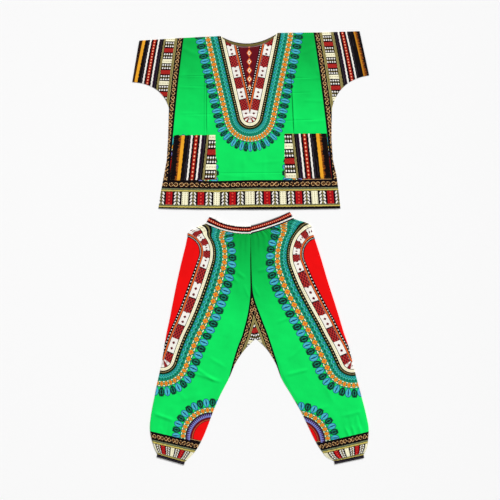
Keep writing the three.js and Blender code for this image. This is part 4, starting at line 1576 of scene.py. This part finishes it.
@dataclass
class TrouserLeg:
    """One trouser leg: a flattened tube, folded at its outer side, gathered at the waist and the ankle."""

    side: Side
    crotch_row: int = 7
    rows_above: int = 84
    rows_below: int = 150
    front_steps: int = 116
    back_steps: int = 30
    fold_gap: float = 1.0
    seam_inset: float = 0.05
    hem_to_cuff: float = 28       # height of the ankle seam above the print's hem
    cut_width: float = 712
    gather_rise: float = 1.6
    gather_reach: float = 34      # how far down from an end the fine gathers die away
    cuff_share: float = 0.8       # height of those at the ankle, as a share of those at the waist
    sink: float = 0.25            # how far the relief is let into the cloth
    groove_depth: float = 0.7     # of the centre seam
    groove_reach: float = 2.2
    seam_reach: float = 16        # over which the front comes down to the inner leg's seam
    waist_gathers: Gathers = Gathers(10, 0.0)
    cuff_gathers: Gathers = Gathers(8, 0.3)
    fine_gathers: Gathers = Gathers(23, 0.15, 0.021, 3.1)
    creases: tuple[Crease, ...] = ridges(
        (-140, -40, -40, -160, 1.0, 30),
        (-60, -330, -140, -440, 1.0, 34),
        (-215, -490, -107, -560, 0.9, 36),
        (-400, -690, -310, -716, 0.8, 32),
        (40, -60, 150, -190, 1.0, 30),
        (120, -450, 210, -360, 1.0, 34),
        (142, -545, 262, -500, 0.9, 36),
        (400, -560, 455, -720, 0.8, 34),
    )
    fine_creases: tuple[Crease, ...] = ridges(
        (-118, -72, -46, -152, 2.4, 7, 0.25),
        (-62, -96, -20, -128, 2.4, 6, 0.3),
        (24, -97, 74, -86, 2.2, 6, 0.3),
        (104, -313, 174, -281, 2.4, 7, 0.3),
        (-234, -495, -140, -556, 3.0, 6.5, 0.2),
        (-30, -150, -4, -215, 1.7, 6, 0.3),
        (6, -150, 40, -210, 1.7, 6, 0.3),
        (70, -70, 128, -60, 1.5, 7, 0.3),
        (60, 20, 96, -60, 1.4, 6, 0.3),
        (-60, 20, -84, -70, 1.4, 6, 0.3),
        (-240, -516, -112, -560, 2.6, 6.5, 0.25),
        (-180, -450, -96, -500, 1.4, 7, 0.3),
        (142, -528, 246, -502, 3.0, 6.5, 0.25),
        (150, -468, 226, -398, 1.5, 7, 0.3),
        (-406, -684, -311, -718, 3.2, 6.5, 0.25),
        (-250, -640, -176, -668, 1.4, 8, 0.3),
        (-330, -560, -260, -640, 1.2, 9, 0.3),
        (300, -560, 350, -650, 1.2, 9, 0.3),
        (252, -684, 330, -650, 1.4, 8, 0.3),
        (385, -735, 420, -800, 2.0, 6, 0.3),
        (415, -728, 440, -800, 1.7, 6, 0.3),
        (446, -728, 462, -790, 1.5, 6, 0.3),
        (-250, -730, -290, -800, 1.5, 7, 0.3),
        (366, -700, 466, -676, 2.0, 7, 0.3),
        (456, -610, 420, -790, 1.8, 12, 0.3),
        (-330, -640, -180, -600, 1.3, 14, 0.3),
        (-372, -735, -360, -800, 1.5, 7, 0.3),
        (437, -672, 464, -757, -1.6, 6, 0.25),
        (439, -676, 422, -752, -1.6, 6, 0.25),
    )

    def __post_init__(self) -> None:
        """Work out the fine sections from the table."""
        self.inset = self.side.sign * self.seam_inset
        table = np.array(LEG_SECTIONS[self.side], float)
        middle = (table[:, 0:2] + table[:, 2:4]) / 2
        table = np.column_stack([table, self._cumulative(middle)])
        knots = self._cumulative(table[:, 2:4])
        cut = self.crotch_row
        above_at = np.linspace(0, knots[cut], self.rows_above + 1)
        below_at = np.linspace(knots[cut], knots[-1], self.rows_below + 1)
        above = smooth_through(knots[:cut + 1], table[:cut + 1], above_at)
        below = smooth_through(knots[cut:], table[cut:], below_at)
        rows = np.concatenate([above, below[1:]])
        (self.out_x, self.out_y, self.in_x, self.in_y, self.dip, self.puff, self.waist, self.cuff, self.cloth,
         self.along) = (column[:, None] for column in rows.T)
        self.width = np.hypot(self.in_x - self.out_x, self.in_y - self.out_y)
        past_crotch = np.arange(len(rows))[:, None] - self.rows_above
        self.inseam = ease(past_crotch / 5 + 0.2)

    @staticmethod
    def _cumulative(points: Array) -> Array:
        """Return each point's distance along the path through them."""
        return np.concatenate([[0], np.cumsum(np.hypot(*np.diff(points, axis=0).T))])

    def plan(self, share: Array) -> tuple[Array, Array]:
        """Return plan points at shares of the way from the outer fold to the seam, for every row."""
        x = mix(self.out_x, self.in_x + self.inset, share)
        y = mix(self.out_y, self.in_y, share) - self.dip * bow(share)
        return x, y

    def top(self, share: Array, x: Array, y: Array) -> Array:
        """Return the height of the front's upper face."""
        base = mix(2 * CAD_WALL + self.fold_gap, 2 * CAD_WALL + CAD_GAP, ease(share))
        gathers = self.waist * self.waist_gathers.height(share) + self.cuff * self.cuff_gathers.height(share)
        from_ends = self.along / self.gather_reach, (self.along.max() - self.along) / self.gather_reach
        fine = self.gather_rise * self.fine_gathers.height(share) * (
            np.exp(-from_ends[0]) + self.cuff_share * np.exp(-from_ends[1]))
        creases = crease_height((*self.creases, *self.fine_creases), x, y)
        relief = gathers + fine + creases + uneven(x, y) - self.sink
        free = base + self.puff * np.sin(np.pi * share) + relief * inside_edges(share)
        seam_gap = (1 - share) * self.width
        groove = self.groove_depth * np.exp(-(seam_gap / self.groove_reach) ** 2) * (1 - self.inseam)
        closed = self.inseam * (1 - ease(seam_gap / self.seam_reach) ** 0.7)
        return mix(free - groove, 2 * CLOTH + LAYER_CLEARANCE, closed)

    def places(self, share: Array) -> Array:
        """Return places in the print for every row."""
        across = self.side.sign * share * self.cloth
        up = self.hem_to_cuff + self.along.max() - self.along
        return grid_of(across, up)

    def build(self, material: Material) -> None:
        """Build the leg."""
        radius = CAD_WALL + self.fold_gap / 2
        fold_share = radius / self.width
        front_share = mix(1.0, fold_share, np.linspace(0, 1, self.front_steps + 1)[None, :])
        back_share = mix(fold_share, 1.0, np.linspace(0, 1, self.back_steps + 1)[None, :])
        front = self.plan(front_share)
        top = self.top(front_share, *front)
        fold = Fold(self.plan(fold_share), self.plan(np.zeros_like(fold_share)), radius, CLOTH)
        shares = (front_share, fold_share * np.abs(np.sin(FOLD_TURN)), back_share)
        wall = ClothWall(f"leg_{self.side.value}_cloth")
        wall.add(*fold.faces(front, (top, top - CLOTH), self.plan(back_share)),
                 np.concatenate([self.places(share) for share in shares], axis=1))
        area = 2 * area_of(self.places(np.linspace(0, 1, 3)[None, :]))
        ride_as_cloth(wall.make(material), f"leg_{self.side.value}",
                      (self.cut_width * MM, self.along.max() * MM), area)

    def seam_path(self, row: int, low: float, high: float, steps: int, lift: float = 0.1) -> Array:
        """Return a path of points across the front, on its upper face."""
        share = np.linspace(low, high, steps)[None, :]
        x, y = self.plan(share)
        z = self.top(np.broadcast_to(share, x.shape), x, y)
        return np.column_stack([x[row], y[row], z[row] + lift])


@dataclass
class Waistband:
    """One half of the elastic waistband, folded round the side and sewn above a leg."""

    leg: TrouserLeg
    end_up: dict[Side, Point] = by_side((0.5, 0.866), (-0.53, 0.85))
    height: float = 34.5
    front_drop: float = 4
    drop_from: float = 0.33
    seam_gap: float = 0.35
    wall: float = 2.4
    layer_gap: float = 0.7
    rounding: float = 0.9
    ruffle: float = 0.8
    fine_ruffle: float = 0.45
    channel_depth: float = 0.55
    channel_reach: float = 1.8
    ruffles: Gathers = Gathers(12, 0.1)
    fine_ruffles: Gathers = Gathers(31, 0.4, 0.012, 3.7)
    channel_rows: tuple[float, ...] = (0.34, 0.66)
    levels: int = 24
    front_steps: int = 150
    back_steps: int = 24
    print_top: dict[Side, float] = by_side(445.0, 441.0)
    back_print_shift: dict[Side, float] = by_side(32.0, 0.0)
    print_height: float = 39.0
    cloth_width: float = 244

    def plan(self, share: Array, level: Array, front: bool) -> tuple[Array, Array]:
        """Return plan points at shares across the band and levels up it."""
        leg = self.leg
        x = mix(leg.out_x[0], leg.in_x[0] + leg.inset, share)
        y = mix(leg.out_y[0], leg.in_y[0], share) - leg.dip[0] * bow(share)
        end_x, end_y = self.end_up[leg.side]
        towards = ease(share)
        drop = self.front_drop * ease(share / self.drop_from) if front else 0
        rise = self.seam_gap + (self.height - drop) * level
        return x + mix(end_x, 0, towards) * rise, y + mix(end_y, 1, towards) * rise

    def top(self, share: Array, level: Array) -> Array:
        """Return the height of the band's front."""
        skew = share + 0.012 * np.sin(level * 5.0 + share * 40)
        ruffle = self.ruffle * self.ruffles.height(skew) + self.fine_ruffle * self.fine_ruffles.height(skew)
        rounding = self.rounding * np.abs(2 * level - 1) ** 3
        channels = sum(self.channel_depth * np.exp(-((level - row) * self.height / self.channel_reach) ** 2)
                       for row in self.channel_rows)
        return 2 * self.wall + self.layer_gap + (ruffle - rounding - channels) * inside_edges(share)

    def build(self, material: Material) -> None:
        """Build the half band."""
        leg = self.leg
        radius = self.wall + self.layer_gap / 2
        fold_share = radius / float(leg.width[0, 0])
        level = np.linspace(0, 1, self.levels + 1)[:, None]
        front_share = mix(1.0, fold_share, np.linspace(0, 1, self.front_steps + 1))[None, :]
        back_share = mix(fold_share, 1.0, np.linspace(0, 1, self.back_steps + 1))[None, :]
        fold = Fold(self.plan(np.full_like(level, fold_share), level, False),
                    self.plan(np.zeros_like(level), level, False), radius, self.wall)
        faces = fold.faces(self.plan(front_share, level, True),
                           (self.top(front_share, level), self.wall + self.layer_gap),
                           self.plan(back_share, level, False))
        share = np.concatenate([front_share, fold_share * np.abs(np.sin(FOLD_TURN)), back_share], axis=1)
        past_fold = np.arange(share.shape[1])[None, :] - (share.shape[1] - self.back_steps - 1)
        behind = ease(past_fold / 4) * self.back_print_shift[leg.side]
        across = self.print_top[leg.side] - self.print_height * (1 - level) - behind
        wall = ClothWall(f"waistband_{leg.side.value}_cloth")
        wall.add(*faces, grid_of(across, share * self.cloth_width))
        flat = (2 * self.cloth_width * MM, self.height * MM)
        ride_as_cloth(wall.make(material), f"waistband_{leg.side.value}",
                      flat, flat[0] * flat[1])

    def stitch_path(self, level: float) -> Array:
        """Return a path along the band's front at one level."""
        share = np.linspace(0.03, 0.985, 240)
        height = np.full_like(share, level)
        x, y = self.plan(share, height, True)
        return np.column_stack([x, y, self.top(share, height) + 0.1])


@dataclass
class AnkleCasing:
    """The elastic casing at a leg's ankle: a flattened ring below the leg's last row."""

    leg: TrouserLeg
    height: float = 12
    seam_gap: float = 0.35
    wall: float = 1.8
    layer_gap: float = 0.4
    rounding: float = 0.5
    ruffle: float = 0.6
    fine_ruffle: float = 0.5
    channel_row: float = 0.16
    channel_depth: float = 0.4
    channel_reach: float = 1.3
    ruffles: Gathers = Gathers(9, 0.1)
    fine_ruffles: Gathers = Gathers(25, 0.3, 0.014, 3.3)
    levels: int = 12
    front_steps: int = 84
    back_steps: int = 14
    turn_steps: int = 8
    print_across: float = 404.0
    cloth_width: float = 140

    def __post_init__(self) -> None:
        """Work out the casing's line from the leg's last row."""
        leg = self.leg
        self.start = np.array([leg.out_x[-1, 0], leg.out_y[-1, 0]])
        end = np.array([leg.in_x[-1, 0], leg.in_y[-1, 0]])
        self.width = float(np.hypot(*(end - self.start)))
        self.along = (end - self.start) / self.width
        turned = np.array([self.along[1], -self.along[0]])
        self.down = turned if self.along[0] > 0 else -turned
        self.radius = self.wall + self.layer_gap / 2

    def top(self, share: Array, level: Array) -> Array:
        """Return the height of the casing's front."""
        ruffle = self.ruffle * self.ruffles.height(share) + self.fine_ruffle * self.fine_ruffles.height(share)
        rounding = self.rounding * np.abs(2 * level - 1) ** 3
        from_channel = (level - self.channel_row) * self.height / self.channel_reach
        channel = self.channel_depth * np.exp(-from_channel ** 2)
        return 2 * self.wall + self.layer_gap + (ruffle - rounding - channel) * inside_edges(share)

    def _at(self, reach: Array, level: Array) -> tuple[Array, Array]:
        """Return plan points a distance along the casing and a level down it."""
        drop = self.seam_gap + self.height * level
        return (self.start[0] + self.along[0] * reach + self.down[0] * drop,
                self.start[1] + self.along[1] * reach + self.down[1] * drop)

    def build(self, material: Material) -> None:
        """Build the casing as a closed ring."""
        level = np.linspace(0, 1, self.levels + 1)[:, None]
        flat = self.width - 2 * self.radius
        front = np.linspace(0, 1, self.front_steps, endpoint=False)[None, :]
        back = np.linspace(1, 0, self.back_steps, endpoint=False)[None, :]
        turn = np.radians(np.linspace(90, -90, self.turn_steps, endpoint=False))[None, :]
        back_turn = np.radians(np.linspace(270, 90, self.turn_steps, endpoint=False))[None, :]
        front_plan, back_plan = (self._at(self.radius + part * flat, level) for part in (front, back))
        faces = []
        for reach, top, low in ((self.radius, self.top(front, level), 0.0),
                                (self.radius - self.wall, self.wall + self.layer_gap, self.wall)):
            faces.append(np.concatenate([
                grid_of(*front_plan, top), self._round(self.width - self.radius, turn, level, reach),
                grid_of(*back_plan, low), self._round(self.radius, back_turn, level, reach)], axis=1))
        share = np.concatenate([front, np.ones_like(turn), back, np.zeros_like(back_turn)], axis=1)
        places = grid_of(self.print_across - level * self.height, share * self.cloth_width)
        wall = ClothWall(f"ankle_casing_{self.leg.side.value}_cloth")
        wall.add(*(np.concatenate([grid, grid[:, :1]], axis=1) for grid in (*faces, places)))
        size = (2 * self.cloth_width * MM, self.height * MM)
        ride_as_cloth(wall.make(material), f"ankle_casing_{self.leg.side.value}", size,
                      size[0] * size[1])

    def _round(self, centre: float, turn: Array, level: Array, reach: float) -> Array:
        """Return the points of one face round a folded end."""
        return grid_of(*self._at(centre + reach * np.cos(turn), level), self.radius + reach * np.sin(turn))

    def stitch_path(self) -> Array:
        """Return a path along the casing's front, just below the seam."""
        share = np.linspace(0.03, 0.97, 110)
        level = np.full_like(share, self.channel_row)
        x, y = self._at(self.radius + share * (self.width - 2 * self.radius), level)
        return np.column_stack([x, y, self.top(share, level) + 0.1])


@dataclass
class Trousers:
    """The trousers: two legs, the waistband's two halves and the two ankle casings."""

    legs: dict[Side, TrouserLeg] = field(default_factory=lambda: {side: TrouserLeg(side) for side in Side})

    def build(self, shop: PrintShop) -> None:
        """Build every piece of the trousers."""
        total = float(self.legs[Side.LEFT].along.max()) + self.legs[Side.LEFT].hem_to_cuff
        panel = Panel(total - 140, 238, 160, 460, 1.0, 0.0, Dye.SCARLET, 1.4)
        # The legs' field has painted shade at the waist, fading to painted light down the thigh.
        printed = shop.printed("printed_leg_cotton", panel, PaintedFieldShade(total - 30, total - 380),
                               Rosette(280, 148, 161, 0.92, 32), BorderLay(-25.0, -44.0, 0.19, 0.536))
        band = shop.striped("waistband_cotton")
        casing = shop.striped("casing_cotton")
        thread = RunningStitch(*STITCH, shop.thread("dark_thread", Dye.SMOKE))
        paths = []
        for leg in self.legs.values():
            leg.build(printed)
            waistband, ankle = Waistband(leg), AnkleCasing(leg)
            waistband.build(band)
            ankle.build(casing)
            paths += [waistband.stitch_path(level) for level in waistband.channel_rows]
            paths += [ankle.stitch_path(), leg.seam_path(1, 0.03, 0.98, 160)]
            paths.append(leg.seam_path(-2, 0.04, 0.96, 120))
        ride_as_thread(thread.sew("trouser_stitching", paths))


@dataclass(frozen=True)
class Studio:
    """A pale floor, soft light and a camera that looks straight down."""

    photo_pixels: float = 500
    pixel: float = 4.15          # one pixel of the photograph on the floor
    aim: Point = (-3.1, -8.7)
    camera_height: float = 3500
    sensor: float = 36
    floor_half: float = 6000
    floor_drop: float = 0.2      # how far the floor lies below the cloth
    softbox_place: tuple[float, float, float] = (-0.3, 0.3, 3.4)
    softbox_size: float = 4.0
    softbox_power: float = 16
    sun_height: float = math.radians(34)
    sun_heading: float = math.radians(62)
    sun_strength: float = 3.0
    sun_angle: float = math.radians(16)
    room_light: float = 0.36

    def build(self) -> None:
        """Build the floor, the lights and the camera."""
        self._floor()
        self._softbox()
        self._raking_light()
        world = bpy.data.worlds.new("soft_room")
        world.use_nodes = True
        background = world.node_tree.nodes["Background"]
        background.inputs["Color"].default_value = (1, 1, 1, 1)
        background.inputs["Strength"].default_value = self.room_light
        bpy.context.scene.world = world
        bpy.context.scene.view_settings.view_transform = "Standard"
        self._camera()

    def _floor(self) -> None:
        """Lay the floor just below the cloth."""
        mesh = bpy.data.meshes.new("floor")
        half, low = self.floor_half * MM, -self.floor_drop * MM
        mesh.from_pydata([(-half, -half, low), (half, -half, low), (half, half, low), (-half, half, low)], [],
                         [(0, 1, 2, 3)])
        material, _, shader = start_material("pale_floor")
        shader.inputs["Base Color"].default_value = (0.97, 0.97, 0.97, 1)
        shader.inputs["Roughness"].default_value = 0.9
        shader.inputs["Specular IOR Level"].default_value = 0.1
        mesh.materials.append(material)
        add_object("floor", mesh)

    def _softbox(self) -> None:
        """Hang a square soft light that faces down."""
        light = bpy.data.lights.new("overhead_softbox", "AREA")
        light.size = self.softbox_size
        light.energy = self.softbox_power
        add_object("overhead_softbox", light).location = self.softbox_place

    def _raking_light(self) -> None:
        """Set an even, low light that brings out the creases."""
        light = bpy.data.lights.new("raking_light", "SUN")
        light.energy = self.sun_strength
        light.angle = self.sun_angle
        lamp = add_object("raking_light", light)
        lamp.rotation_euler = (0, math.pi / 2 - self.sun_height, self.sun_heading)

    def _camera(self) -> None:
        """Set the camera above the set, so that the photograph's frame is filled."""
        lens = bpy.data.cameras.new("camera")
        lens.sensor_width = self.sensor
        lens.lens = self.sensor * self.camera_height / (self.photo_pixels * self.pixel)
        camera = add_object("camera", lens)
        camera.location = (self.aim[0] * MM, self.aim[1] * MM, self.camera_height * MM)
        bpy.context.scene.camera = camera


def main() -> None:
    """Build the camera and light, then the shirt, then the trousers."""
    logging.basicConfig(level=logging.INFO, format="%(name)s %(message)s")
    Studio().build()
    shop = PrintShop()
    shirt = Shirt()
    yoke = Panel(740, 226, 150, 352, 0.888, 0.000424, Dye.MAROON)
    # The shirt's field has painted shade at the shoulders, fading to painted light lower down.
    printed = shop.printed("printed_shirt_cotton", yoke, PaintedFieldShade(735, 380), Rosette(260, 150, 158, 1.113),
                           BorderLay(26.0, 0.0, hem_out=7.0, hem_rise=4.5),
                           shirt.press_lines)
    shirt.build_back(printed)
    shirt.build_facing(shop.plain("facing_cotton", Dye.OLIVE, Dye.NIGHT, 3.6))
    shirt.build_front(printed)
    striped = shop.striped("pocket_cotton")
    for side in Side:
        shirt.build_pocket(side, striped)
    shirt.sew(RunningStitch(*STITCH, shop.thread("green_thread", Dye.OLIVE)))
    Trousers().build(shop)


if __name__ == "__main__":
    main()
